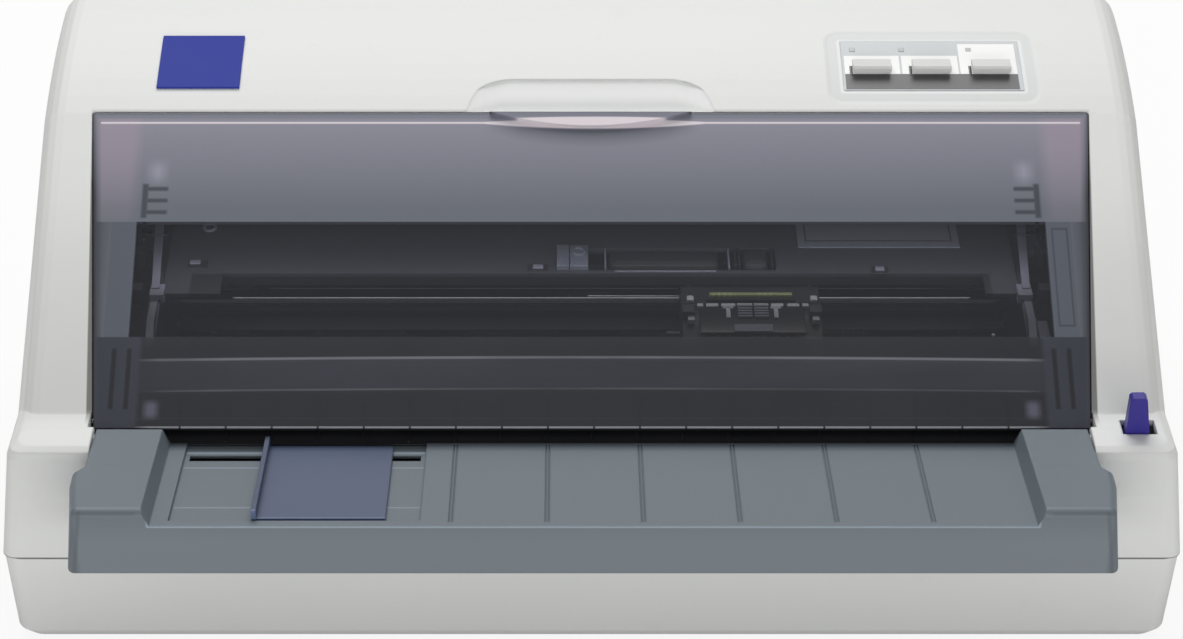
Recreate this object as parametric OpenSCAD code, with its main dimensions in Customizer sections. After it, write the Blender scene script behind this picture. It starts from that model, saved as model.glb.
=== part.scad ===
// Flatbed dot matrix printer.
// X runs to the right, Y to the back and Z up. The origin is under the middle of the feet.
// The sheet lies on a straight path that drops from the front tray to the slot in the back wall.

/* [Case] */
// Width of the case at the seam between its two shells
case_width = 468; // [450:1:500]
// Depth from the front of the tray to the back wall
case_depth = 270; // [266:1:290]
// Height from the desk to the top of the case
case_height = 174; // [170:1:182]
// Height of the seam between the two shells
seam_height = 50; // [48:1:53]
// Wall of the two case shells
case_wall = 3; // [2:0.5:4]
// How far the upper body is set in from the seam on each side
body_inset = 6; // [5:0.5:9]
// Rounding of the body's long edges
body_round = 10; // [6:1:12]
// Radius of the arched top
top_arch = 220; // [200:5:260]
// Radius where the top turns down into the back wall
back_round = 11; // [8:1:14]
// Height of the rubber feet under the lower shell
foot_height = 2.5; // [2:0.5:4]

/* [Cover] */
// Depth of the tray in front of the cover's lower edge
cover_setback = 63.5; // [60:0.5:66]
// Horizontal run of the cover from its lower to its upper edge
cover_run = 124; // [118:1:128]
// Drop from the top of the case to the cover's upper edge
cover_drop = 12; // [10:0.5:14]
// Width of the side pillars beside the cover's lower edge
pillar_foot = 32; // [28:0.5:34]
// Width of the side pillars beside the cover's upper edge
pillar_top = 22; // [19:0.5:26]
// Thickness of the cover's sheet
cover_sheet = 2.5; // [2:0.25:3]
// Depth of the rim under the cover's sides and upper edge
cover_rim = 8; // [6:0.5:9]
// Rounding of the cover's upper corners
cover_round = 1.5; // [1:0.5:5]

/* [Paper path] */
// Slope of the paper path, falling to the back
feed_tilt = 11; // [10:0.5:12]
// Height of the paper path at the back edge of the tray
feed_height = 89.5; // [88:0.5:91]
// Half of the width between the tray's wings
channel_half = 166; // [155:1:168]
// Height of the tray's wings over its floor
wing_height = 7; // [5:0.5:8]
// Half of the clear width between the side frames
frame_half = 176; // [175:1:180]
// Thickness of the side frames
frame_sheet = 2; // [1.5:0.25:3]

/* [Drive] */
// Distance from the cover's lower edge back to the print line
print_setback = 61.5; // [60:0.5:63]
// Radius of the platen roller
platen_radius = 15; // [14:0.5:15]
// Radius of the two feed rollers
feed_radius = 8; // [8:0.5:8.5]
// Radius of the two pressure rollers
pressure_radius = 5; // [4.5:0.25:5]
// Distance along the sheet from the print line to each feed roller
feed_spacing = 36.5; // [36:0.5:37]
// Distance along the sheet from the print line to the tractors
tractor_spacing = 96; // [95.5:0.5:97]
// Radius of the carriage's guide shaft
guide_radius = 5; // [4:0.5:6]
// Radius of the belt pulleys
pulley_radius = 8; // [7:0.5:8.5]
// Module of the gear teeth
tooth_module = 1; // [0.98:0.01:1]
// Width of the gears
gear_width = 6; // [5:0.5:7]

/* [Carriage] */
// Width of the carriage
carriage_width = 57; // [50:1:62]
// Place of the carriage along the printer
carriage_at = 66; // [-100:1:100]

/* [Control panel] */
// Width of the panel's label
panel_width = 75; // [73:1:80]
// Depth of the panel's label
panel_depth = 29; // [28:0.5:31]
// Width of a button
button_width = 16; // [14:0.5:17]
// Depth of a button
button_depth = 7; // [6:0.5:8]
// Travel of a button
button_travel = 1; // [0.6:0.1:1.2]

/* [Clearances] */
// Gap between a moving piece and its neighbour
gap = 0.5; // [0.4:0.05:0.7]
// Radial clearance of a shaft in its bearing
fit = 0.05; // [0.03:0.01:0.08]

/* [Hidden] */
$fn = 48;
hull_fn = 32;
sides = [-1, 1];

// Main planes and lines of the case
seam_half = case_width / 2;
body_half = seam_half - body_inset;
back_y = case_depth / 2;
tray_front = -back_y;
tray_overhang = 38;
base_front = tray_front + tray_overhang;
foot_y = tray_front + cover_setback;
tray_back = foot_y - 1;
tray_bottom = seam_height + 28;
slot_gap = 2.8;
floor_y = foot_y - slot_gap;
function path_z(y) = feed_height - (y - floor_y) * tan(feed_tilt);
function wing_z(y) = path_z(y) + wing_height / cos(feed_tilt);
foot_z = wing_z(foot_y);
cover_top_y = foot_y + cover_run;
cover_top_z = case_height - cover_drop;
cover_slope = atan2(cover_top_z - foot_z, cover_run);
cover_length = norm([cover_run, cover_top_z - foot_z]);
cover_foot_half = body_half - pillar_foot;
cover_top_half = body_half - pillar_top;
cheek_half = channel_half + 29;
arch_y = back_y - back_round;
arch_z = case_height - top_arch;
function arch_height(y) = arch_z + sqrt(pow(top_arch, 2) - pow(arch_y - y, 2));
function arch_slope(y) = asin((arch_y - y) / top_arch);

// Points on a curve, and points set off square to the sheet
function arc(centre, r, from, to, steps) =
  [for (i = [0:steps]) let (a = from + (to - from) * i / steps) centre + r * [cos(a), sin(a)]];
function beside_sheet(y, r) = [y + r * sin(feed_tilt), path_z(y) + r * cos(feed_tilt)];
function meeting(a, b, ra, rb, side) =
  let (d = norm(b - a), u = (b - a) / d)
  let (x = (d * d + ra * ra - rb * rb) / (2 * d), h = sqrt(ra * ra - x * x))
  a + x * u + side * h * [-u.y, u.x];
function heading(a, b) = atan2(b.y - a.y, b.x - a.x);

// Lines of the rollers, gears and shafts, as [Y, Z]
sheet_gap = 0.2;
print_y = foot_y + print_setback;
function along(y, distance) = y + distance * cos(feed_tilt);
platen_at = beside_sheet(print_y, -platen_radius - sheet_gap);
front_feed_at = beside_sheet(along(print_y, -feed_spacing), -feed_radius - sheet_gap);
rear_feed_at = beside_sheet(along(print_y, feed_spacing), -feed_radius - sheet_gap);
front_pressure_at = beside_sheet(along(print_y, -feed_spacing), pressure_radius + sheet_gap);
rear_pressure_at = beside_sheet(along(print_y, feed_spacing), pressure_radius + sheet_gap);
sprocket_radius = 11;
tractor_at = beside_sheet(along(print_y, tractor_spacing), -sprocket_radius - sheet_gap);
guide_at = [print_y + 29, 90];
belt_at = [print_y + 44, 92];
platen_teeth = 30;
feed_teeth = 16;
idler_teeth = 16;
pinion_teeth = 12;
tractor_idler_teeth = 41;
tractor_teeth = 24;
function pitch_radius(teeth) = teeth * tooth_module / 2;
function centres(a, b) = pitch_radius(a) + pitch_radius(b);
front_idler_at = meeting(platen_at, front_feed_at, centres(platen_teeth, idler_teeth),
  centres(idler_teeth, feed_teeth), 1);
rear_idler_at = meeting(platen_at, rear_feed_at, centres(platen_teeth, idler_teeth),
  centres(idler_teeth, feed_teeth), -1);
tractor_idler_at = meeting(rear_feed_at, tractor_at, centres(feed_teeth, tractor_idler_teeth),
  centres(tractor_idler_teeth, tractor_teeth), -1);
motor_heading = 250;
motor_at = platen_at + centres(platen_teeth, pinion_teeth) * [cos(motor_heading), sin(motor_heading)];

// Turn of each gear at which its teeth sit in the gaps of the gear before it
function mesh(teeth_a, turn_a, teeth_b, way) =
  way + 180 - 180 / teeth_b + (way - turn_a) * teeth_a / teeth_b;
front_idler_turn = mesh(platen_teeth, 0, idler_teeth, heading(platen_at, front_idler_at));
rear_idler_turn = mesh(platen_teeth, 0, idler_teeth, heading(platen_at, rear_idler_at));
front_feed_turn = mesh(idler_teeth, front_idler_turn, feed_teeth, heading(front_idler_at, front_feed_at));
rear_feed_turn = mesh(idler_teeth, rear_idler_turn, feed_teeth, heading(rear_idler_at, rear_feed_at));
pinion_turn = mesh(platen_teeth, 0, pinion_teeth, motor_heading);
tractor_idler_turn = mesh(feed_teeth, rear_feed_turn, tractor_idler_teeth,
  heading(rear_feed_at, tractor_idler_at));
tractor_turn = mesh(tractor_idler_teeth, tractor_idler_turn, tractor_teeth,
  heading(tractor_idler_at, tractor_at));

// Radii of the shafts, and the planes of the drive on the left side frame
platen_shaft_radius = 6;
feed_shaft_radius = 4;
pressure_shaft_radius = 2.5;
tractor_shaft_radius = 4;
post_radius = 3;
bush_wall = 2.5;
frame_outer = frame_half + frame_sheet;
gear_in = frame_outer + 6;
gear_out = gear_in + gear_width;
shaft_end = frame_outer + 3;
motor_plate = gear_out + 2;

// Heights inside the case
pan_bottom = foot_height + case_wall;
pan_sheet = 1.5;
pan_top = pan_bottom + pan_sheet;
pan_front = print_y - 52;
pan_back = back_y - 23;
board_height = 8;
board_sheet = 1.6;
board_top = pan_top + board_height + board_sheet;

case_colour = [0.90, 0.90, 0.88];
tray_colour = [0.42, 0.45, 0.48];
dark_colour = [0.16, 0.16, 0.17];
steel_colour = [0.72, 0.73, 0.75];
rubber_colour = [0.12, 0.12, 0.12];
gear_colour = [0.85, 0.84, 0.78];
blue_colour = [0.22, 0.20, 0.55];
board_colour = [0.10, 0.35, 0.20];
button_colour = [0.87, 0.87, 0.86];

// Shapes used more than once

module profile(from, to) {
  translate([from, 0, 0]) rotate([90, 0, 90]) linear_extrude(to - from) children();
}

module rod(at, r, from, to) {
  translate([from, at.x, at.y]) rotate([0, 90, 0]) cylinder(r = r, h = to - from);
}

module block(low, high) {
  translate(low) cube(high - low);
}

module both_sides() {
  for (side = sides) scale([side, 1, 1]) children();
}

module gear(teeth, bore) {
  root = -1.2;
  tip = 0.9;
  root_share = 0.27;
  tip_share = 0.11;
  corners = [[-root_share, root], [-tip_share, tip], [tip_share, tip], [root_share, root]];
  difference() {
    polygon([for (i = [0:teeth - 1]) for (c = corners) let (a = (i + c.x) * 360 / teeth)
      (pitch_radius(teeth) + c.y * tooth_module) * [cos(a), sin(a)]]);
    circle(r = bore);
  }
}

module left_gear(at, teeth, turn, bore) {
  translate([-gear_out, at.x, at.y]) rotate([90, 0, 90]) rotate([0, 0, turn])
    linear_extrude(gear_width) gear(teeth, bore);
}

// The sloping plane of the cover: X across, Y up the slope from the lower edge, Z out of the cover
module on_cover() {
  translate([0, foot_y, foot_z]) rotate([cover_slope, 0, 0]) children();
}

// A plane that touches the arched top at y, with Z out of the case
module on_top(y) {
  translate([0, y, arch_height(y)]) rotate([arch_slope(y), 0, 0]) children();
}

// Half of the cover's width, by the distance up its slope
function cover_half(s) = cover_foot_half + (cover_top_half - cover_foot_half) * s / cover_length;

module cover_outline(grow, from, round) {
  top = cover_length + grow;
  low_half = cover_half(from) + grow;
  top_half = cover_half(top) + grow;
  right = concat([[low_half, from], [top_half, top - round]],
    arc([top_half - round, top - round], round, 15, 90, 5));
  polygon(concat(right, [for (i = [len(right) - 1:-1:0]) [-right[i].x, right[i].y]]));
}

// Case

// Side view of the body from the seam up: pillar foot, cover slope, arched top, back
module body_profile(inset) {
  under_seam = seam_height - 12;
  offset(delta = -inset)
    polygon(concat([[foot_y, under_seam], [foot_y, foot_z]],
      arc([arch_y, arch_z], top_arch, 90 + arch_slope(cover_top_y), 90, 8),
      arc([arch_y, case_height - back_round], back_round, 75, 0, 5),
      [[back_y, under_seam]]));
}

module body_form(inset) {
  steps = 5;
  hull() for (i = [0:steps]) let (a = 90 * i / steps) {
    x = body_half - inset - body_round * (1 - cos(a));
    profile(-x, x) body_profile(inset + body_round * (1 - sin(a)));
  }
}

// A closed form through levels [front height, back height, half width, front, back]
module levels_form(levels, corner) {
  disc = 0.5;
  hull() for (level = levels) for (side = sides) {
    translate([side * (level[2] - corner), level[3] + corner, level[0] - disc])
      cylinder(r = corner, h = disc, $fn = hull_fn);
    translate([side * (level[2] - corner), level[4] - corner, level[1] - disc])
      cylinder(r = corner, h = disc, $fn = hull_fn);
  }
}

cheek_front = base_front + 6.5;
cheek_edge = 4;
cheek_back = foot_y + 12;
module skirt_form(inset) {
  top_half = body_half - 0.4 - inset;
  face = cheek_front + inset;
  function top_z(y, drop) = wing_z(y) - drop - inset;
  levels_form([
    [seam_height - 1, seam_height - 1, seam_half - inset, base_front + inset, back_y - inset],
    [seam_height + 30, seam_height + 30, top_half - 0.5, base_front + 3.5 + inset, back_y - inset],
    [top_z(cheek_front, cheek_edge), top_z(cheek_back, cheek_edge), top_half, face, cheek_back],
    [top_z(cheek_front, 1.2), top_z(cheek_back, 1.2), top_half - 1.2, face + 1.2, cheek_back],
    [top_z(cheek_front, 0), top_z(cheek_back, 0), top_half - cheek_edge, face + cheek_edge, cheek_back]
  ], 5);
}

grip_half = 52;
grip_depth = 17;
grip_sink = 5;
// The scoop behind the cover's upper edge, where a finger goes
module grip_scoop(grow) {
  corner = [20 + grow, 16 + grow];
  bowl = 25;
  flat_half = grip_half - 15;
  far = [grip_half + grow, grip_depth + grow];
  turn = [for (a = [0:7.5:90]) [corner.x * (cos(a) - 1), corner.y * (sin(a) - 1)]];
  outline = concat([[-far.x, -grow], [far.x, -grow]], [for (p = turn) far + p],
    [for (i = [len(turn) - 1:-1:0]) [-far.x - turn[i].x, far.y + turn[i].y]]);
  tilt = arch_slope(cover_top_y + grip_depth / 2) + 14;
  translate([0, cover_top_y + gap, arch_height(cover_top_y + gap)]) rotate([tilt, 0, 0])
    intersection() {
      translate([0, 0, -grip_sink - grow - 1]) linear_extrude(30) polygon(outline);
      translate([0, far.y + 1, bowl - grip_sink]) rotate([90, 0, 0]) linear_extrude(far.y + grow + 2)
        polygon(concat(arc([flat_half, 0], bowl + grow, -90, 0, 12), [[far.x + 20, 30], [-far.x - 20, 30]],
          arc([-flat_half, 0], bowl + grow, 180, 270, 12)));
    }
}

module lever_slot() {
  block([lever_left - 1, lever_slot_front, seam_height + 10],
    [lever_right + 2, lever_slot_back, case_height]);
}

panel_y = cover_top_y + 25.5;
panel_left = seam_half - 128;
panel_mid = panel_left + panel_width / 2;
panel_sink = 1.2;
label_sheet = 1;
badge_y = panel_y + 2;
badge_size = [34.5, 31];
badge_left = -seam_half + 53;
exit_height = 12;
boss_radius = 5;
screw_radius = 1.8;
boss_x = seam_half - 19;
boss_ys = [base_front + 45, back_y - 17];
web_sheet = 2.5;
hinge_s = 4;
hinge_n = 3;
hinge_radius = 1.5;
hinge_boss = 2.6;
hinge_web_run = 8;
hinge_web_x = cover_half(hinge_s + hinge_web_run) + gap;
// How far the cover's lower edge swings forward of its closed place
foot_swing = norm([hinge_s, hinge_n]) - hinge_s + gap;

module upper_case() {
  notch_front = base_front - 2;
  color(case_colour) {
    difference() {
      union() {
        body_form(0);
        skirt_form(0);
      }
      difference() {
        union() {
          body_form(case_wall);
          skirt_form(case_wall);
          block([-seam_half + case_wall, base_front + case_wall, 0],
            [seam_half - case_wall, back_y - case_wall, seam_height - 0.5]);
        }
        grip_scoop(case_wall - 0.5);
        on_top(panel_y) block([panel_left - 3, -panel_depth / 2 - 3, -panel_sink - 2.5],
          [panel_left + panel_width + 3, panel_depth / 2 + 3, 3]);
      }
      block([-seam_half, tray_front, -10], [seam_half, back_y + 1, seam_height]);
      on_cover() translate([0, 0, -cover_rim - 12]) linear_extrude(60) {
        cover_outline(gap, -foot_swing, cover_round);
        translate([-hinge_web_x, -foot_swing])
          square([2 * hinge_web_x, foot_swing + hinge_s + hinge_boss]);
      }
      profile(-cheek_half, cheek_half)
        polygon([[notch_front, tray_bottom], [foot_y + 8, tray_bottom], [foot_y + 8, foot_z + 8],
          [notch_front, foot_z + 40]]);
      rod(hinge_at, hinge_radius, -hinge_web_x - web_sheet, hinge_web_x + web_sheet);
      grip_scoop(0);
      lever_slot();
      on_top(panel_y) block([panel_left, -panel_depth / 2, -panel_sink],
        [panel_left + panel_width, panel_depth / 2, 10]);
      for (i = [0:2]) on_top(panel_y) button_hole(i);
      on_top(badge_y) block([badge_left, -badge_size.y / 2, -0.6],
        [badge_left + badge_size.x, badge_size.y / 2, 10]);
      block([-channel_half, back_y - 10, seam_height - 1],
        [channel_half, back_y + 1, seam_height + exit_height]);
    }
    both_sides() {
      cheek_wall();
      hinge_web();
      for (y = boss_ys) screw_tower(y);
    }
  }
}

// The cheek's inner wall beside the tray
module cheek_wall() {
  front = base_front + case_wall - 0.5;
  back = tray_back;
  profile(cheek_half, cheek_half + web_sheet)
    polygon([[front, seam_height], [cheek_front + 1.5, wing_z(cheek_front) - case_wall],
      [back, wing_z(back) - case_wall + 0.5], [back, seam_height]]);
}

// The plate in each pillar that carries the cover's hinge pin
module hinge_web() {
  front = foot_y + gap;
  back = foot_y + hinge_web_run;
  function under(y) = foot_z + (y - foot_y) * tan(cover_slope) - 1;
  difference() {
    profile(hinge_web_x, hinge_web_x + web_sheet)
      polygon([[front, seam_height], [front, foot_z - 1], [foot_y, foot_z - 1],
        [back, under(back)], [back, seam_height]]);
    rod(hinge_at, hinge_radius, 0, seam_half);
  }
}
hinge_at = [foot_y + hinge_s * cos(cover_slope) + hinge_n * sin(cover_slope),
  foot_z + hinge_s * sin(cover_slope) - hinge_n * cos(cover_slope)];

module screw_tower(y) {
  difference() {
    union() {
      translate([boss_x, y, seam_height]) cylinder(r = boss_radius, h = 22);
      block([boss_x, y - 1.5, seam_height], [seam_half - case_wall - 2, y + 1.5, seam_height + 22]);
    }
    translate([boss_x, y, seam_height - 1]) cylinder(r = screw_radius, h = 16);
  }
}

port_low = pan_top + 8;
inlet_x = [frame_half - 26, frame_half + 2];
inlet_z = [port_low, port_low + 20];
parallel_x = [-75, -15];
parallel_z = [port_low, port_low + 14];
usb_x = [8, 21];
usb_z = [port_low, port_low + 12];
switch_x = [frame_half + 14, frame_half + 28];
switch_z = [port_low, port_low + 20];

module lower_case() {
  foot_inset = 6;
  side_draft = 0.008;
  front_draft = 0.048;
  function level(z, inset) = let (drop = seam_height - z)
    [z, z, seam_half - drop * side_draft - inset, base_front + drop * front_draft + inset, back_y - inset];
  bottom = foot_height;
  outer = [level(bottom, foot_inset), level(bottom + 1.5, 2.5), level(bottom + foot_inset, 0),
    level(seam_height - seam_gap, 0)];
  inner = [level(bottom + case_wall, foot_inset + 2), level(bottom + case_wall + 3, case_wall + 1),
    level(seam_height + 1, case_wall)];
  color(case_colour) difference() {
    union() {
      difference() {
        levels_form(outer, 8);
        levels_form(inner, 6);
        for (p = foot_places) translate([p.x, p.y, 0]) cylinder(r = foot_radius, h = foot_height + 1);
        for (r = [[inlet_x, inlet_z], [parallel_x, parallel_z], [usb_x, usb_z], [switch_x, switch_z]])
          block([r[0][0], back_y - 20, r[1][0]], [r[0][1], back_y + 1, r[1][1]]);
      }
      for (side = sides) for (y = boss_ys)
        translate([side * boss_x, y, bottom + 1]) cylinder(r = boss_radius, h = seam_height - bottom - 1);
    }
    for (side = sides) for (y = boss_ys) {
      translate([side * boss_x, y, 0]) cylinder(r = screw_radius + 0.3, h = seam_height + 1);
      translate([side * boss_x, y, 0]) cylinder(r = screw_head, h = foot_height + screw_sink);
    }
  }
}
seam_gap = 0.02;
screw_head = 3.5;
screw_sink = 6;

foot_radius = 9;
foot_places = [for (x = sides) for (y = [base_front + 34, back_y - 38]) [x * (seam_half - 28), y]];
module rubber_feet() {
  color(rubber_colour) for (p = foot_places)
    translate([p.x, p.y, 0]) cylinder(r = foot_radius, h = foot_height + 1);
}

module case_screws() {
  head_z = foot_height + screw_sink;
  color(steel_colour) for (side = sides) for (y = boss_ys) translate([side * boss_x, y, 0]) {
    translate([0, 0, head_z - 2.5]) cylinder(r = screw_head - 0.3, h = 2.5);
    translate([0, 0, head_z]) cylinder(r = screw_radius, h = seam_height + 14 - head_z);
  }
}

// Control panel and badge

function button_x(i) = panel_left + 12 + i * 25;
button_y = -2.5;
hole_inset = 0.6;
module button_hole(i) {
  half = [button_width / 2 - hole_inset, button_depth / 2 - hole_inset];
  translate([button_x(i), button_y, -8]) block([-half.x, -half.y, 0], [half.x, half.y, 20]);
}

module panel_label() {
  color([0.78, 0.79, 0.80]) on_top(panel_y) difference() {
    block([panel_left, -panel_depth / 2, -panel_sink],
      [panel_left + panel_width, panel_depth / 2, -panel_sink + label_sheet]);
    for (i = [0:2]) button_hole(i);
  }
}

module badge_plate() {
  color([0.28, 0.30, 0.62]) on_top(badge_y)
    block([badge_left, -badge_size.y / 2, -0.6], [badge_left + badge_size.x, badge_size.y / 2, 0.4]);
}

board_drop = 12;
module panel_board() {
  color(board_colour) on_top(panel_y) {
    block([panel_left + 2, -11, -board_drop - board_sheet], [panel_left + panel_width - 2, 11, -board_drop]);
    for (i = [0:2]) translate([button_x(i), button_y, -board_drop]) cylinder(r = 2.5, h = 2.5);
    for (x = [panel_left + 4, panel_left + panel_width - 4])
      translate([x, -8, -board_drop]) cylinder(r = 1.5, h = board_drop - panel_sink - 2.5);
  }
}

module button(i) {
  lift = 2.6;
  slope = 1.2;
  under = button_travel + 0.3;
  stem = board_drop - 2.5 - under;
  half = [button_width / 2, button_depth / 2];
  neck = half - [1, 1];
  on_top(panel_y) translate([button_x(i), button_y, 0]) {
    profile(-half.x, half.x)
      polygon([[-half.y, under], [-half.y, lift + slope], [-half.y + 1, lift + slope + 0.6],
        [half.y, lift], [half.y, under]]);
    block([-neck.x, -neck.y, -2], [neck.x, neck.y, under + 0.1]);
    block([-2, -1.5, -stem], [2, 1.5, -1.9]);
  }
}
module feed_button() {
  color(button_colour) button(0);
}
module load_button() {
  color(button_colour) button(1);
}
module pause_button() {
  color(button_colour) button(2);
}

// Cover

module cover_hinge_pins() {
  color(steel_colour) both_sides()
    rod(hinge_at, hinge_radius, cover_foot_half - 6, hinge_web_x + web_sheet);
}

lip_half = 43;
lip_depth = 7;
module top_cover() {
  lip_radius = (pow(lip_half, 2) + pow(lip_depth, 2)) / (2 * lip_depth);
  rim_start = hinge_s + 10;
  rim_inset = 0.4;
  color([0.36, 0.37, 0.42, 0.6]) {
    difference() {
      union() {
        on_cover() translate([0, 0, -cover_sheet]) linear_extrude(cover_sheet)
          cover_outline(0, 0, cover_round);
        on_cover() translate([0, 0, -cover_rim]) linear_extrude(cover_rim - 1) difference() {
          cover_outline(-rim_inset, rim_start, cover_round);
          cover_outline(-cover_sheet, rim_start - 1, max(cover_round - cover_sheet, 1));
        }
        both_sides() hinge_cheek(rim_start);
      }
      rod(hinge_at, hinge_radius + fit, -seam_half, seam_half);
    }
    on_cover() intersection() {
      translate([0, cover_length + lip_radius - lip_depth, -1]) cylinder(r = lip_radius, h = 3, $fn = 160);
      block([-lip_half, cover_length - lip_depth - 1, -1], [lip_half, cover_length - rim_inset, 3]);
    }
    both_sides() cover_ribs();
  }
}

// The end of the cover's side rim that turns on the hinge pin
module hinge_cheek(rim_start) {
  outer = cover_foot_half - 0.2;
  rod(hinge_at, hinge_boss, outer - 5, outer);
  on_cover() block([outer - 2.5, hinge_s + (hinge_radius + hinge_boss) / 2, -hinge_n - 2],
    [outer - 0.1, rim_start + 1, -1]);
}

module cover_ribs() {
  rib = 1.4;
  rim_half = cover_half(88) - 21;
  on_cover() {
    block([rim_half, 84, -5], [rim_half + rib, 102, -1]);
    for (i = [0:2]) block([rim_half - 9, 86 + i * 6.5, -5], [rim_half, 86 + i * 6.5 + rib, -1]);
    for (x = [cover_foot_half - 8, cover_foot_half - 15]) block([x, 8, -5], [x + rib, 34, -1]);
  }
}

// Tray and edge guide

module front_tray() {
  sheet = 2.5;
  front_half = cheek_half + 0.5;
  skirt_half = cheek_half + 4;
  bottom = tray_bottom;
  nose = 2.5;
  low_back = base_front - gap;
  hollow_front = tray_front + 2 * sheet;
  under = 3;
  module side_view(inset) {
    polygon([[tray_front + inset, bottom - inset], [tray_front + inset, wing_z(tray_front) - inset],
      [tray_back - inset, wing_z(tray_back) - inset], [tray_back - inset, path_z(tray_back) - under],
      [low_back + 8, path_z(low_back + 8) - under], [low_back - inset, path_z(low_back) - under - 3],
      [low_back - inset, bottom - inset]]);
  }
  color(tray_colour) difference() {
    union() {
      profile(-cheek_half + gap, cheek_half - gap) intersection() {
        side_view(0);
        translate([low_back - 20, 0]) square([cover_setback, case_height]);
      }
      hull() both_sides() {
        for (p = [[tray_front + 4, front_half - 3], [low_back - 16, skirt_half - 3.4],
          [low_back - 8, skirt_half - 3], [low_back - 4, skirt_half - 6]])
          translate([p.y, p.x, wing_z(p.x) - 3]) sphere(r = 3, $fn = 24);
        for (p = [[tray_front + 3, skirt_half - 3], [low_back - 3, skirt_half - 3]])
          translate([p.y, p.x, bottom]) cylinder(r = 3, h = 1, $fn = 24);
      }
    }
    // the hollow under the floor and the wings
    profile(-cheek_half + gap + sheet, cheek_half - gap - sheet) difference() {
      polygon([[hollow_front, bottom - 1], [hollow_front, path_z(tray_front) - sheet - 1.5],
        [low_back + 4, path_z(low_back + 4) - sheet - 1.5], [low_back - sheet, path_z(low_back) - under - 4],
        [low_back - sheet, bottom - 1]]);
    }
    wing_hollows(sheet, hollow_front, low_back);
    // the channel for the sheet
    channel_cut();
    // the sunk track of the edge guide, and its slot
    track_cut(guide_track[0], guide_track[1], guide_sink);
    profile(guide_track[0] + 2, guide_track[1] - 2) slot_profile(rail_y, 4, 20);
    // double grooves across the floor
    for (x = groove_xs) for (side = sides) translate([x + side * 0.6, 0, 0])
      profile(-0.3, 0.3) floor_strip(tray_front + 4, tray_back - 1, 0.5);
  }
}

module wing_hollows(sheet, front, back) {
  both_sides() profile(channel_half + sheet + 1.5, cheek_half - sheet)
    polygon([[front, tray_bottom - 1], [front, wing_z(tray_front) - sheet - 1.5],
      [back - sheet, wing_z(back) - sheet - 1.5], [back - sheet, tray_bottom - 1]]);
}

module channel_cut() {
  flare = 3.5;
  top = wing_height + 2;
  translate([0, floor_y, feed_height]) rotate([-feed_tilt, 0, 0]) rotate([90, 0, 0])
    translate([0, 0, -10]) linear_extrude(cover_setback + 20)
      polygon([[-channel_half, 0], [channel_half, 0], [channel_half + flare, top],
        [-channel_half - flare, top]]);
}

module floor_strip(from, to, depth) {
  polygon([[from, path_z(from) - depth], [from, path_z(from) + 1], [to, path_z(to) + 1],
    [to, path_z(to) - depth]]);
}

module track_cut(from, to, depth) {
  profile(from, to) floor_strip(tray_front + 5, foot_y + 1, depth);
}

module slot_profile(y, width, reach) {
  polygon([[y - width / 2, path_z(y) - reach], [y - width / 2, path_z(y) + 5],
    [y + width / 2, path_z(y) + 5], [y + width / 2, path_z(y) - reach]]);
}

guide_track = [-channel_half + 6.5, -channel_half + 101];
guide_sink = 1.6;
rail_y = foot_y - 10.5;
groove_pitch = 36.2;
groove_first = guide_track[1] + 11.5;
groove_xs = [for (i = [0:5]) groove_first + i * groove_pitch];
guide_left = guide_track[0] + 31.5;
guide_plate = 50;

module edge_guide() {
  lift = guide_sink - 0.2;
  rise = 4;
  front = tray_front + 6.5;
  back = floor_y - 0.3;
  module slab(y0, y1, low, high) {
    polygon([[y0, path_z(y0) + low], [y0, path_z(y0) + high], [y1, path_z(y1) + high],
      [y1, path_z(y1) + low]]);
  }
  color([0.36, 0.42, 0.54]) {
    profile(guide_left, guide_left + guide_plate) slab(front, back, -lift, 0);
    profile(guide_left - 0.3, guide_left + 1.5) slab(front - 0.5, back + 1.3, -lift + 0.3, rise);
    profile(guide_left + 10, guide_left + guide_plate - 10)
      slab(rail_y - 1.5, rail_y + 1.5, -8, -lift + 0.1);
  }
}

// Release lever, its shaft lies along the inside of the right cheek
lever_left = cheek_half + 13;
lever_right = lever_left + 10.5;
lever_slot_front = foot_y - 8;
lever_slot_back = foot_y + 1;
lever_pivot = [foot_y - 3.4, seam_height + 14];
module release_lever() {
  top = wing_z(foot_y) + 21;
  front = lever_slot_front + gap;
  thick = 4.2;
  hub = 6;
  color(blue_colour) difference() {
    union() {
      translate([0, front + thick, 0]) rotate([90, 0, 0]) linear_extrude(thick)
        polygon([[lever_left, lever_pivot.y + hub], [lever_left, top - 1], [lever_left + 1, top],
          [lever_right - 5, top], [lever_right - 4, top - 1], [lever_right, foot_z - 3],
          [lever_right, lever_pivot.y + hub]]);
      block([lever_left, front, lever_pivot.y], [lever_left + hub, front + thick, lever_pivot.y + hub + 2]);
      rod(lever_pivot, hub, lever_left, lever_left + hub);
    }
    rod(lever_pivot, post_radius + fit, lever_left - 1, lever_left + hub + 1);
  }
}

// Frame

side_points = [[pan_front, pan_top], [pan_front, 84], [pan_front + 18, 101], [print_y - 14, 107],
  [print_y + 20, 113], [print_y + 75, 113], [print_y + 95, 80], [pan_back, 70], [pan_back, pan_top]];
shaft_lines = [
  [platen_at, platen_shaft_radius], [front_feed_at, feed_shaft_radius], [rear_feed_at, feed_shaft_radius],
  [front_pressure_at, pressure_shaft_radius], [rear_pressure_at, pressure_shaft_radius],
  [tractor_at, tractor_shaft_radius]];
post_lines = [front_idler_at, rear_idler_at, tractor_idler_at];

module side_plate() {
  difference() {
    profile(frame_half, frame_outer) polygon(side_points);
    for (line = shaft_lines) rod(line[0], line[1] + bush_wall, frame_half - 1, frame_outer + 1);
    rod(guide_at, guide_radius, frame_half - 1, frame_outer + 1);
    rod(tractor_rod_at, tractor_rod_radius, frame_half - 1, frame_outer + 1);
    light_window();
  }
  top_flange();
}

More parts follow.
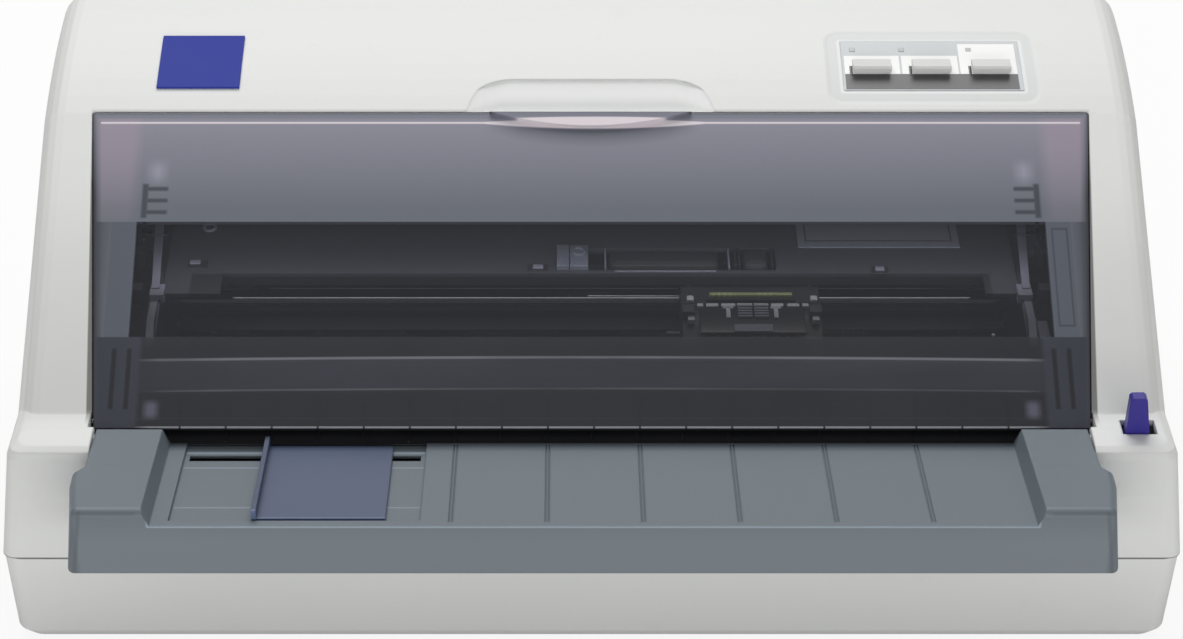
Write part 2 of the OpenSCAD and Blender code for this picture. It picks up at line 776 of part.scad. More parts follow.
// Opening under the drive that leaves the plate light
module light_window() {
  profile(frame_half - 1, frame_outer + 1)
    polygon([[print_y + 45, 22], [print_y + 45, 40], [print_y + 70, 30], [print_y + 70, 22]]);
}

// Folded edge along the top of a side frame
module top_flange() {
  fold = 2.6;
  profile(frame_outer, frame_outer + fold)
    polygon([[pan_front + 18, 99.5], [pan_front + 18, 101], [print_y - 14, 107], [print_y + 20, 113],
      [print_y + 75, 113], [print_y + 75, 111.5], [print_y + 20, 111.5], [print_y - 14, 105.5]]);
}

module left_side_frame() {
  color(steel_colour) {
    scale([-1, 1, 1]) side_plate();
    motor_bracket();
  }
}

motor_radius = 17;
motor_posts = [motor_at + [-20, -13], motor_at + [20, -13], motor_at + [-24, 8]];
module motor_bracket() {
  for (p = motor_posts) rod(p, 3, -motor_plate, -frame_outer);
  difference() {
    profile(-motor_plate - 2, -motor_plate)
      polygon([motor_posts[0] + [-6, -5], motor_posts[1] + [5, -5], motor_posts[1] + [5, 6],
        motor_at + [12, 14], motor_posts[2] + [-4, 6], motor_posts[2] + [-5, -5]]);
    rod(motor_at, 6, -motor_plate - 3, 0);
  }
}

module right_side_frame() {
  color(steel_colour) side_plate();
}

module base_frame() {
  lip = 8;
  color(steel_colour) {
    block([-frame_outer, pan_front, pan_bottom], [frame_outer, pan_back, pan_top]);
    block([-frame_half, pan_front, pan_top], [frame_half, pan_front + pan_sheet, pan_top + lip]);
    for (x = [-frame_half + 12, -60, 30, 52, frame_half - 16]) for (y = [pan_front + 20, pan_back - 14])
      translate([x, y, pan_top]) cylinder(r = 3, h = board_height);
  }
}

module shaft_bushings() {
  color([0.80, 0.78, 0.66]) for (line = shaft_lines) difference() {
    for (x = [-frame_outer - 1, frame_half]) rod(line[0], line[1] + bush_wall, x, x + frame_sheet + 1);
    rod(line[0], line[1] + fit, -frame_outer - 2, frame_outer + 2);
  }
}

module gear_posts() {
  color(steel_colour) {
    for (p = post_lines) rod(p, post_radius, -gear_out - 1, -frame_outer);
    rod(lever_pivot, post_radius, cheek_half + web_sheet, lever_left + 7);
  }
}

module guide_shaft() {
  color(steel_colour) rod(guide_at, guide_radius, -frame_outer - 2, frame_outer + 2);
}

module lower_paper_guide() {
  below = 0.6;
  sheet = 2;
  front = floor_y + 1.8;
  back = back_y - 8;
  function z(y) = path_z(y) - below;
  module opening(at, r) {
    rod(at, r, -roller_half - 1.5, roller_half + 1.5);
  }
  color(dark_colour) {
    difference() {
      profile(-frame_half, frame_half)
        polygon([[front, z(front)], [back, z(back)], [back, z(back) - sheet],
          [front + 4, z(front + 4) - sheet - 1], [front, z(front) - 5]]);
      opening(platen_at, platen_radius + 1);
      opening(front_feed_at, feed_radius + 1);
      opening(rear_feed_at, feed_radius + 1);
      both_sides() rod(tractor_at, sprocket_radius + 4, tractor_xs[1] - tractor_travel - 10,
        tractor_xs[1] + 14);
      for (side = sides) block([side * (frame_half + 2) - 8, rear_feed_at.x + 20, 0],
        [side * (frame_half + 2) + 8, back + 1, case_height]);
    }
    for (i = [-8:8]) let (from = front + 2, to = front_feed_at.x - 12)
      profile(i * groove_pitch / 2 - 0.5, i * groove_pitch / 2 + 0.5)
        polygon([[from, z(from) - 0.5], [from, z(from) + 0.4], [to, z(to) + 0.4], [to, z(to) - 0.5]]);
  }
}

module front_rail() {
  top = 100;
  sheet = 1.5;
  front = front_pressure_at.x - 6.8;
  back = front + 20;
  color([0.30, 0.31, 0.34])
    profile(-frame_half, frame_half)
      polygon([[front, 91], [front, top - 1], [front + 1, top], [back, top], [back, 89], [back - sheet, 89],
        [back - sheet, top - sheet], [front + sheet, top - sheet], [front + sheet, 91]]);
}

module inner_cover() {
  sheet = 2;
  low = 111 - sheet;
  front = print_y + 6;
  knee = print_y + 57;
  ears = [24, 14];
  rise = [12, 27];
  pocket = [[-14, front + 16], [77, front + 31]];
  color(dark_colour) difference() {
    profile(-frame_half, frame_half)
      polygon([[front, low], [front, low + sheet], [knee, low + sheet],
        [knee + rise.x, low + sheet + rise.y],
        [knee + rise.x + sheet, low + sheet + rise.y - 1], [knee + sheet, low]]);
    block([pocket[0].x, pocket[0].y, low - 1], [pocket[1].x, pocket[1].y, low + 5]);
    block([-frame_half + ears[0], front - 1, low - 1], [frame_half - ears[1], front + 14, low + 5]);
  }
}

// Carriage and its drive

module carriage() {
  half = carriage_width / 2;
  top = 103.5;
  front = print_y - 19.5;
  back = guide_at.x + guide_radius + 3.5;
  color(dark_colour) translate([carriage_at, 0, 0]) difference() {
    union() {
      profile(-half, half)
        polygon([[front, 86], [front, 97], [print_y + 1, top], [back, top], [back, 86],
          [guide_at.x - 9, 84.5], [print_y - 4, 84.5]]);
      block([-12, back - 1, top - 8], [12, belt_at.x + 4.5, top + 1]);
      for (x = [-half, half - 5]) block([x, print_y - 1, top - 1], [x + 5, print_y + 4, top + 3.5]);
    }
    rod(guide_at, guide_radius + fit, -half - 1, half + 1);
    block([-head_half - 0.2, head_front - 0.2, 60], [head_half + 0.2, head_back + 0.2, 120]);
    block([-13, belt_at.x - 4, belt_at.y + pulley_radius - 1],
      [13, belt_at.x + 5, belt_at.y + pulley_radius + 1.8]);
    block([-17, head_back + 4.8, top - 4], [17, head_back + 6.6, top + 1]);
  }
}

head_half = 20;
head_front = print_y - 12;
head_back = print_y + 6;
module print_head() {
  fins = 9;
  fin_sheet = 1.4;
  color([0.55, 0.57, 0.60]) translate([carriage_at, 0, 0]) {
    block([-head_half - 0.2, head_front - 0.2, 86], [head_half + 0.2, head_back + 0.2, 100]);
    for (i = [0:fins - 1]) let (x = -head_half + i * (2 * head_half - fin_sheet) / (fins - 1))
      block([x, head_front + 1, 100], [x + fin_sheet, head_back - 1, 104.5]);
    profile(-5, 5) polygon([[print_y - 8, 86], [print_y - 2, path_z(print_y) + 0.9],
      [print_y + 2, path_z(print_y) + 0.9], [print_y + 5, 86]]);
  }
}

module head_board() {
  color([0.55, 0.60, 0.30]) translate([carriage_at, 0, 0])
    block([-17, head_back + 4.8, 99.5], [17, head_back + 6.6, 106.5]);
}

pulley_xs = [-frame_half + 24, frame_half - 13];
belt_thick = 1.2;
belt_width = 6;
axle_radius = 2.5;
// A cylinder along Y at one end of the belt
module belt_rod(x, from, r, h) {
  translate([x, from, belt_at.y]) rotate([-90, 0, 0]) cylinder(r = r, h = h);
}

module pulley(x) {
  flange = 0.8;
  front = belt_at.x - belt_width / 2 - 1;
  color([0.75, 0.75, 0.72]) difference() {
    union() {
      belt_rod(x, front, pulley_radius - belt_thick / 2 - fit, belt_width + 2);
      belt_rod(x, front, pulley_radius + 2, flange);
      belt_rod(x, front + belt_width + 2 - flange, pulley_radius + 2, flange);
    }
    belt_rod(x, front - 1, axle_radius + fit, belt_width + 4);
  }
}
module drive_pulley() {
  pulley(pulley_xs[0]);
}
module idler_pulley() {
  pulley(pulley_xs[1]);
}

module timing_belt() {
  module loop(r) {
    union() {
      for (x = pulley_xs) translate([x, belt_at.y]) circle(r = r);
      translate([pulley_xs[0], belt_at.y - r]) square([pulley_xs[1] - pulley_xs[0], 2 * r]);
    }
  }
  color(rubber_colour) translate([0, belt_at.x + belt_width / 2 - 0.2, 0]) rotate([90, 0, 0])
    linear_extrude(belt_width - 0.4) difference() {
      loop(pulley_radius + belt_thick / 2);
      loop(pulley_radius - belt_thick / 2);
    }
}

module carriage_motor() {
  back = belt_at.x + belt_width / 2 + 3;
  color([0.45, 0.46, 0.48]) {
    belt_rod(pulley_xs[0], back, motor_radius - 1, 28);
    for (x = pulley_xs) belt_rod(x, belt_at.x - belt_width / 2 - 2, axle_radius, belt_width + 6);
    block([-frame_half, back, belt_at.y - 8], [pulley_xs[0], back + 2, belt_at.y + 8]);
    // the carrier of the idler pulley, on the right side frame
    block([pulley_xs[1] - 5, back, belt_at.y - 8], [frame_half, back + 2, belt_at.y + 8]);
  }
}

module feed_motor() {
  color([0.45, 0.46, 0.48]) {
    rod(motor_at, motor_radius, -seam_half + 16, -motor_plate - 2);
    rod(motor_at, 2, -motor_plate - 3, -gear_in + 1);
  }
}
module motor_pinion() {
  color(steel_colour) left_gear(motor_at, pinion_teeth, pinion_turn, 2 + fit);
}

// Rollers and gears

roller_half = frame_half - 11;
module platen_roller() {
  color(rubber_colour) difference() {
    rod(platen_at, platen_radius, -roller_half, roller_half);
    rod(platen_at, platen_shaft_radius, -seam_half, seam_half);
  }
}
module platen_shaft() {
  color(steel_colour) rod(platen_at, platen_shaft_radius, -gear_out, shaft_end);
}
module platen_gear() {
  color(gear_colour) left_gear(platen_at, platen_teeth, 0, platen_shaft_radius);
}

tyre_xs = [for (i = [-2:2]) i * roller_half / 2.5];
tyre_width = 26;
module tyres(at, r, shaft) {
  color(rubber_colour) for (x = tyre_xs) difference() {
    rod(at, r, x - tyre_width / 2, x + tyre_width / 2);
    rod(at, shaft, -seam_half, seam_half);
  }
}
stub_radius = 1.5;
module feed_shaft(at, turn) {
  color(steel_colour) rod(at, feed_shaft_radius, -gear_in, shaft_end);
  color(gear_colour) left_gear(at, feed_teeth, turn, stub_radius);
  color(steel_colour) rod(at, stub_radius, -gear_out, -gear_in);
}
module pressure_shaft(at) {
  color(steel_colour) rod(at, pressure_shaft_radius, -shaft_end, shaft_end);
}
module post_gear(at, teeth, turn) {
  color(gear_colour) left_gear(at, teeth, turn, post_radius + fit);
}
module front_feed_shaft() {
  feed_shaft(front_feed_at, front_feed_turn);
}
module rear_feed_shaft() {
  feed_shaft(rear_feed_at, rear_feed_turn);
}
module front_feed_tyres() {
  tyres(front_feed_at, feed_radius, feed_shaft_radius);
}
module rear_feed_tyres() {
  tyres(rear_feed_at, feed_radius, feed_shaft_radius);
}
module front_pressure_shaft() {
  pressure_shaft(front_pressure_at);
}
module rear_pressure_shaft() {
  pressure_shaft(rear_pressure_at);
}
module front_pressure_tyres() {
  tyres(front_pressure_at, pressure_radius, pressure_shaft_radius);
}
module rear_pressure_tyres() {
  tyres(rear_pressure_at, pressure_radius, pressure_shaft_radius);
}
module front_idler_gear() {
  post_gear(front_idler_at, idler_teeth, front_idler_turn);
}
module rear_idler_gear() {
  post_gear(rear_idler_at, idler_teeth, rear_idler_turn);
}
module tractor_idler_gear() {
  post_gear(tractor_idler_at, tractor_idler_teeth, tractor_idler_turn);
}

// Tractors

tractor_xs = [-frame_half + 36, frame_half - 36];
tractor_travel = 30;
square_half = 2.6;
tractor_rod_radius = 2;
tractor_rod_at = tractor_at - [0, 17];
module tractor_shaft() {
  color(steel_colour) {
    profile(-frame_half + 1, frame_half - 1) translate(tractor_at) square(2 * square_half, center = true);
    rod(tractor_at, tractor_shaft_radius, -gear_in, -frame_half + 1);
    rod(tractor_at, tractor_shaft_radius, frame_half - 1, shaft_end);
    rod(tractor_at, stub_radius, -gear_out, -gear_in);
  }
  color(gear_colour) left_gear(tractor_at, tractor_teeth, tractor_turn, stub_radius);
}

module sprocket(x) {
  pins = 5;
  color([0.85, 0.84, 0.80]) difference() {
    union() {
      rod(tractor_at, sprocket_radius - 1.5, x - 3, x + 3);
      for (i = [0:pins - 1]) translate([x, tractor_at.x, tractor_at.y])
        rotate([i * 360 / pins + 90, 0, 0])
          translate([0, 0, sprocket_radius - 3]) cylinder(r1 = 1.8, r2 = 1.2, h = 5.4);
    }
    profile(x - 4, x + 4) translate(tractor_at) square(2 * square_half + 4 * fit, center = true);
  }
}
module left_sprocket() {
  sprocket(tractor_xs[0]);
}
module right_sprocket() {
  sprocket(tractor_xs[1]);
}

module tractor(x) {
  high = tractor_at.y + sprocket_radius - 4;
  low = tractor_at.y - 20;
  half = 11;
  inner = sprocket_radius + 3.2;
  color(dark_colour) difference() {
    profile(x - 7, x + 7) polygon([[tractor_at.x - half, low], [tractor_at.x - half, high],
      [tractor_at.x + half, high - 4], [tractor_at.x + half, low]]);
    block([x - 4, tractor_at.x - half - 1, tractor_at.y - inner],
      [x + 4, tractor_at.x + half + 1, high + 1]);
    rod(tractor_at, square_half * sqrt(2) + 0.3, x - 8, x + 8);
    rod(tractor_rod_at, tractor_rod_radius + fit, x - 8, x + 8);
  }
}
module tractor_rod() {
  color(steel_colour) rod(tractor_rod_at, tractor_rod_radius, -frame_outer - 1, frame_outer + 1);
}
module left_tractor() {
  tractor(tractor_xs[0]);
}
module right_tractor() {
  tractor(tractor_xs[1]);
}

// Electrics

board_z = pan_top + board_height;
module main_board() {
  color(board_colour) {
    block([-frame_half + 6, pan_front + 8, board_z], [36, pan_back - 6, board_top]);
    for (p = [[-120, -30], [-120, 30], [-60, 0], [-20, 60]])
      block([p.x - 10, p.y - 10, board_top], [p.x + 10, p.y + 10, board_top + 3]);
  }
}

module power_supply() {
  color([0.62, 0.55, 0.35]) {
    block([46, pan_front + 8, board_z], [frame_half - 6, pan_back - 6, board_top]);
    block([60, -40, board_top], [100, -8, board_top + 20]);
    for (x = [115, 140]) translate([x, -30, board_top]) cylinder(r = 9, h = 22);
    block([60, 8, board_top], [150, 12, board_top + 18]);
  }
}

// A shell set in the back wall, with its socket open to the back
module back_shell(x, z, depth, mouth) {
  back = back_y - 0.5;
  difference() {
    block([x[0], back - depth, z[0]], [x[1], back, z[1]]);
    block([x[0] + mouth, back - depth + 3, z[0] + mouth], [x[1] - mouth, back + 1, z[1] - mouth]);
  }
}

module ac_inlet() {
  color(dark_colour) {
    back_shell(inlet_x, inlet_z, 16, 2);
    for (i = [-1:1]) let (x = (inlet_x[0] + inlet_x[1]) / 2 + 5 * i)
      block([x - 1, back_y - 15, inlet_z[0] + 8], [x + 1, back_y - 6, inlet_z[0] + 12]);
  }
}
module parallel_port() {
  color(steel_colour) {
    back_shell(parallel_x, parallel_z, 12, 1.5);
    block([parallel_x[0] + 8, back_y - 12, parallel_z[0] + 5.5],
      [parallel_x[1] - 8, back_y - 3, parallel_z[0] + 8.5]);
  }
}
module usb_port() {
  color(steel_colour) {
    back_shell(usb_x, usb_z, 12, 1);
    block([usb_x[0] + 4, back_y - 12, usb_z[0] + 4], [usb_x[1] - 4, back_y - 3, usb_z[0] + 8]);
  }
}

switch_at = [back_y - 8, (switch_z[0] + switch_z[1]) / 2];
module switch_body() {
  color(dark_colour) difference() {
    block([switch_x[0], back_y - 18, switch_z[0]], [switch_x[1], back_y - 0.5, switch_z[1]]);
    block([switch_x[0] + 1.5, back_y - 16, switch_z[0] + 1.5],
      [switch_x[1] - 1.5, back_y, switch_z[1] - 1.5]);
    rod(switch_at, 1 + fit, switch_x[0] - 1, switch_x[1] + 1);
  }
}
switch_tilt = 7;
module power_switch() {
  half = (switch_z[1] - switch_z[0]) / 2 - 3;
  color([0.10, 0.10, 0.10]) {
    rod(switch_at, 1, switch_x[0] + 0.2, switch_x[1] - 0.2);
    profile(switch_x[0] + 2, switch_x[1] - 2) translate(switch_at) rotate(-switch_tilt)
      polygon([[-3, -3], [-3, 3], [2, half], [4.6, half], [3.6, 0], [4.6, -half], [2, -half]]);
  }
}

lower_case();
rubber_feet();
case_screws();
base_frame();
left_side_frame();
right_side_frame();
upper_case();
badge_plate();
panel_label();
panel_board();
front_tray();
lower_paper_guide();
front_rail();
inner_cover();
guide_shaft();
timing_belt();
carriage_motor();
feed_motor();
main_board();
power_supply();
ac_inlet();
parallel_port();
usb_port();
switch_body();
cover_hinge_pins();
gear_posts();
shaft_bushings();
top_cover();
edge_guide();
release_lever();
feed_button();
load_button();
pause_button();
power_switch();
carriage();
print_head();
head_board();
platen_roller();
platen_shaft();
platen_gear();
front_feed_shaft();
front_feed_tyres();
rear_feed_shaft();
rear_feed_tyres();
front_pressure_shaft();
front_pressure_tyres();
rear_pressure_shaft();
rear_pressure_tyres();
front_idler_gear();
rear_idler_gear();
motor_pinion();
tractor_idler_gear();
tractor_shaft();
tractor_rod();
left_tractor();
right_tractor();
left_sprocket();
right_sprocket();
drive_pulley();
idler_pulley();
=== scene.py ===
"""Looks for a flatbed dot matrix printer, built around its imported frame."""

import math

import bmesh
import bpy
from mathutils import Matrix, Vector


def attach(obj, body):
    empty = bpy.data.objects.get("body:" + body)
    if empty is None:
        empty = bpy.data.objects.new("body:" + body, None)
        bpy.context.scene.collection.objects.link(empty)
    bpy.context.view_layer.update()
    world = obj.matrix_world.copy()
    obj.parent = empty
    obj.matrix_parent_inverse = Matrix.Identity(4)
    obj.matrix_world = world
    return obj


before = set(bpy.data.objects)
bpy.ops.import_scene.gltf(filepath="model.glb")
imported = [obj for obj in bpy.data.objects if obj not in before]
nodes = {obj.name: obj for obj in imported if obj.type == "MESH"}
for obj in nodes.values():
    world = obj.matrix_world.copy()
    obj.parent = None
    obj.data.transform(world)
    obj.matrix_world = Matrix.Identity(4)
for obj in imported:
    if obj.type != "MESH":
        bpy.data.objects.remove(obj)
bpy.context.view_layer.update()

MM = 0.001
IDENTITY = Matrix.Identity(4)
GRAIN_DEPTH = 0.00008  # of the moulded grain, in metres

# ---------------------------------------------------------------- places, in millimetres

# the cover: its lower edge, its slope, and its length and half widths up that slope
FOOT = Vector((0, -71.5, 96.087))
COVER_SLOPE = math.radians(27.9933)
COVER_LENGTH = 140.43
COVER_HALF_LOW, COVER_HALF_HIGH = 196.0, 206.0
WINDOW = (39.1, 90.2)  # where its clear field begins and ends, up the slope
GRIP_X, GRIP_HALF = 1.5, 46.0

# the case: its arched top, as a circle, and the joint of its shells
ARCH_Y, ARCH_Z, ARCH = 124.0, -46.0, 220.0
SEAM_Z = 50.0

# the label: its middle, half sizes and corners; its fields and buttons, with y from the middle
PANEL_X, PANEL_Y = 143.5, 78.0
PANEL_RIM, PANEL_ROUND = (44.5, 21.0), 7.0
FIELD_FRONT, FIELD_LEFT, FIELD_RIGHT = -5.1, 106.9, 179.3
BUTTON_XS, BUTTON_Y, BUTTON_WIDTH = (118.0, 143.0, 168.0), -2.5, 16.0

# behind the window: the plate's top, the carriage's middle and the head's cap
PLATE_Z = 111.0
CARRIAGE_X, HEAD_Z = 66.0, 104.6

# the tray: its front face, wings and lip, its grooves, and the guide's track and ridges
TRAY_FRONT, WING_Z, LIP_Z = -135.0, 107.9, 100.4
GROOVE_X, GROOVE_PITCH = -53.5, 36.2
TRACK, TRACK_RIDGES = (-159.0, -65.5), (-77.9, -89.2, -118.5)

# ---------------------------------------------------------------- the studio

FLOOR_HALF = 6  # metres
SKY = 0.34  # strength of the world, where the camera doesn't see it

# the camera, in pixels, millimetres of sensor, metres and degrees
PICTURE_WIDTH, FOCAL_PIXELS, SHIFT_PIXELS, SENSOR = 1183, 2650, 27.5, 36
CAMERA_PLACE, CAMERA_DIP = (-0.011, -0.8659, 0.7709), 38


def on_top(y):
    """A plane that touches the arched top at y, with Z out of the case."""
    height = ARCH_Z + math.sqrt(ARCH**2 - (ARCH_Y - y) ** 2)
    slope = math.asin((ARCH_Y - y) / ARCH)
    return Matrix.Translation((0, y, height)) @ Matrix.Rotation(slope, 4, "X")


# ---------------------------------------------------------------- finishes


class Number:
    """A number that varies over a surface; arithmetic on it adds Math nodes."""

    def __init__(self, finish, socket):
        self.finish, self.socket = finish, socket

    def _math(self, operation, *values, clamp=False):
        settings = {"operation": operation, "use_clamp": clamp}
        return self.finish.node("ShaderNodeMath", settings, dict(enumerate(values)))

    def __add__(self, other):
        return self._math("ADD", self, other)

    def __sub__(self, other):
        return self._math("SUBTRACT", self, other)

    def __rsub__(self, other):
        return self._math("SUBTRACT", other, self)

    def __mul__(self, other):
        return self._math("MULTIPLY", self, other)

    def __truediv__(self, other):
        return self._math("DIVIDE", self, other)

    def __mod__(self, other):
        return self._math("FLOORED_MODULO", self, other)

    __radd__, __rmul__ = __add__, __mul__

    def above(self, level, soft):
        """0 below the level and 1 above it, with a soft step between."""
        return self._math("MULTIPLY_ADD", self, 1 / soft, 0.5 - level / soft, clamp=True)

    def below(self, level, soft):
        return 1 - self.above(level, soft)

    def between(self, low, high, soft):
        return self.above(low, soft) * self.below(high, soft)

    def size(self):
        return self._math("ABSOLUTE", self)

    def at_least(self, other):
        return self._math("MAXIMUM", self, other)

    def at_most(self, other):
        return self._math("MINIMUM", self, other)

    def root(self):
        return self._math("SQRT", self)


class Finish:
    """One material. node() adds any node and gives back its output."""

    def __init__(self, name):
        self.material = bpy.data.materials.new(name)
        self.material.use_nodes = True
        self.tree = self.material.node_tree
        self.tree.nodes.clear()

    def node(self, kind, settings=None, inputs=None, output=0):
        made = self.tree.nodes.new(kind)
        for key, value in (settings or {}).items():
            setattr(made, key, value)
        for key, value in (inputs or {}).items():
            if isinstance(value, Number):
                self.tree.links.new(value.socket, made.inputs[key])
            else:
                made.inputs[key].default_value = value
        return Number(self, made.outputs[output])

    def place(self):
        """The point on the object, in metres."""
        return self.node("ShaderNodeTexCoord", output="Object")

    def axis(self, name):
        return self.node("ShaderNodeSeparateXYZ", inputs={0: self.place()}, output=name)

    def noise(self, scale, detail=2.0, rough=0.5, stretch=(1, 1, 1)):
        where = self.node("ShaderNodeMapping", inputs={"Vector": self.place(), "Scale": stretch})
        inputs = {"Vector": where, "Scale": scale, "Detail": detail, "Roughness": rough}
        return self.node("ShaderNodeTexNoise", inputs=inputs)

    def mix(self, share, low, high):
        """Between two colours, by a share from 0 to 1."""
        inputs = {"Factor": share, 6: low, 7: high}
        return self.node("ShaderNodeMix", {"data_type": "RGBA"}, inputs, output=2)

    def edges(self, radius):
        """The normal with its edges rounded, and a mask of the edges, which finishes paint lighter
        as wear and as a painted highlight.
        """
        rounded = self.node("ShaderNodeBevel", {"samples": 4}, {"Radius": radius})
        flat = self.node("ShaderNodeNewGeometry", output="Normal")
        same = self.node("ShaderNodeVectorMath", {"operation": "DOT_PRODUCT"},
                         {0: rounded, 1: flat}, output="Value")
        return rounded, (1 - same).above(0.12, 0.2)

    def bump(self, height, strength, distance, normal=None):
        inputs = {"Height": height, "Strength": strength, "Distance": distance}
        if normal:
            inputs["Normal"] = normal
        return self.node("ShaderNodeBump", inputs=inputs)

    def surface(self, **inputs):
        """Ends the material in one Principled shader. Names with _ stand for spaces."""
        named = {key.replace("_", " "): value for key, value in inputs.items()}
        shader = self.node("ShaderNodeBsdfPrincipled", inputs=named)
        return self.end(shader)

    def end(self, shader):
        out = self.tree.nodes.new("ShaderNodeOutputMaterial")
        self.tree.links.new(shader.socket, out.inputs["Surface"])
        return self.material


def tint(colour, share):
    """A colour made lighter or darker by a share."""
    return tuple(min(1, c * (1 + share)) for c in colour[:3]) + (1,)


def rgb(r, g, b):
    """A colour from 8 bit levels, as linear light."""
    def linear(c):
        c /= 255
        return c / 12.92 if c < 0.04045 else ((c + 0.055) / 1.055) ** 2.4
    return (linear(r), linear(g), linear(b), 1)


def moulded(name, colour, rough=0.5, grain=0.25, size=1500, tone=0.04, radius=0.0005,
            edge_wear_and_highlight=0.25, coat=0.0, shine=0.5, marks=None):
    """Moulded plastic: a fine spark-eroded grain, uneven tone, and edges painted lighter, as rubbed
    wear and as a painted highlight.

    marks paints over the base colour: marks of a piece's own, and painted shadow.
    """
    f = Finish(name)
    cloud = f.noise(14, 3, 0.6)
    fine = f.noise(size, 3, 0.65)
    rounded, edge = f.edges(radius)
    base = f.mix(cloud, tint(colour, -tone), tint(colour, tone))
    # edges painted lighter: rubbed wear and a painted highlight
    base = f.mix(edge * edge_wear_and_highlight, base, tint(colour, 0.35))
    if marks:
        base = marks(f, base, colour)
    return f.surface(
        Base_Color=base,
        Roughness=rough + (cloud - 0.5) * 0.18 + (fine - 0.5) * 0.1,
        Normal=f.bump(fine, grain, GRAIN_DEPTH, rounded),
        Coat_Weight=coat,
        Specular_IOR_Level=shine,
    )


def on_slope(y, z):
    """How far up the cover's slope a point is, and how far out of it."""
    slope_cos, slope_sin = math.cos(COVER_SLOPE), math.sin(COVER_SLOPE)
    up = (y - FOOT.y) * slope_cos + (z - FOOT.z) * slope_sin
    out = (z - FOOT.z) * slope_cos - (y - FOOT.y) * slope_sin
    return up, out


def half_at(up):
    """Half of the cover's width there, in a finish."""
    return COVER_HALF_LOW + up * ((COVER_HALF_HIGH - COVER_HALF_LOW) / COVER_LENGTH)


def case_finish():
    """The pale case: painted shade around the cover, below and in the dished bed for the label, and
    painted light on the pillars and in the finger recess.
    """
    f = Finish("case_finish")
    colour = rgb(226, 227, 225)
    x, y, z = (f.axis(name) * 1000 for name in "XYZ")
    cloud = f.noise(9, 3, 0.6)
    fine = f.noise(1300, 3, 0.6)
    rounded, edge = f.edges(0.0012)
    base = f.mix(cloud, tint(colour, -0.03), tint(colour, 0.02))
    # the pillars: painted shade that falls towards their feet, painted light near their tops, and
    # painted shade in the gap beside the cover
    up, out = on_slope(y, z)
    beside = x.size() - half_at(up)
    pillar = out.above(-2.5, 1) * up.above(4, 8) * up.below(COVER_LENGTH, 1) * z.above(98, 2)
    base = f.mix(pillar * up.below(60, 90) * 0.5, base, tint(colour, -0.3))
    base = f.mix(pillar * up.above(100, 60) * 0.6, base, tint(colour, 0.12))
    gap_shade = pillar * (beside + up * 0.0165).below(2.9, 0.5) * (0.92 - up.above(126, 36) * 0.55)
    base = f.mix(gap_shade, base, rgb(106, 106, 103))
    # a thin band of painted shadow above the cover, and painted light on the bottom of the finger
    # recess
    shade_above_cover = up.between(COVER_LENGTH, COVER_LENGTH + 1.9, 0.8) * x.size().below(207, 1)
    base = f.mix(shade_above_cover * 0.3, base, rgb(150, 150, 146))
    scoop_light = ARCH_Z + (ARCH**2 - (ARCH_Y - y) * (ARCH_Y - y)).root() - z
    scoop_light = scoop_light.above(0.35, 0.5) * x.size().below(53, 1) * y.between(52, 71, 1) * z.above(150, 1)
    base = f.mix(scoop_light * 0.85, base, rgb(246, 247, 246))
    # the dish: how far a point lies outside a rectangle with round corners
    top = z.above(120, 4)
    across = (x - PANEL_X).size() - PANEL_RIM[0] + PANEL_ROUND
    along = (y - PANEL_Y).size() - PANEL_RIM[1] + PANEL_ROUND
    past_x, past_y = across.at_least(0), along.at_least(0)
    corner = (past_x * past_x + past_y * past_y).root()
    outside = corner + across.at_least(along).at_most(0) - PANEL_ROUND
    dish = outside.below(-0.6, 1.8) * top
    inner = outside.between(-7.2, -5.4, 0.8) * top
    # painted shade over the dish, and a painted highlight line around the label inside it
    base = f.mix(dish * 0.5, base, rgb(208, 211, 211))
    base = f.mix(inner * 0.55, base, rgb(244, 245, 245))
    # painted shade on the lower shell, darker towards the desk, below the fine joint of the two
    # shells
    base = f.mix(z.below(30, 50) * 0.75, base, tint(colour, -0.2))
    seam = (z - SEAM_Z).size().below(0.4, 0.3)
    base = f.mix(seam * 0.75, base, rgb(110, 110, 106))
    dust = f.noise(60, 5, 0.7).above(0.66, 0.12) * 0.05
    base = f.mix(dust, base, rgb(176, 172, 160))
    sunk = f.bump(1 - dish, 0.5, 0.0006, rounded)
    return f.surface(
        Base_Color=base,
        Roughness=0.5 + (cloud - 0.5) * 0.12 + (fine - 0.5) * 0.08,
        Normal=f.bump(fine, 0.16, GRAIN_DEPTH, sunk),
    )


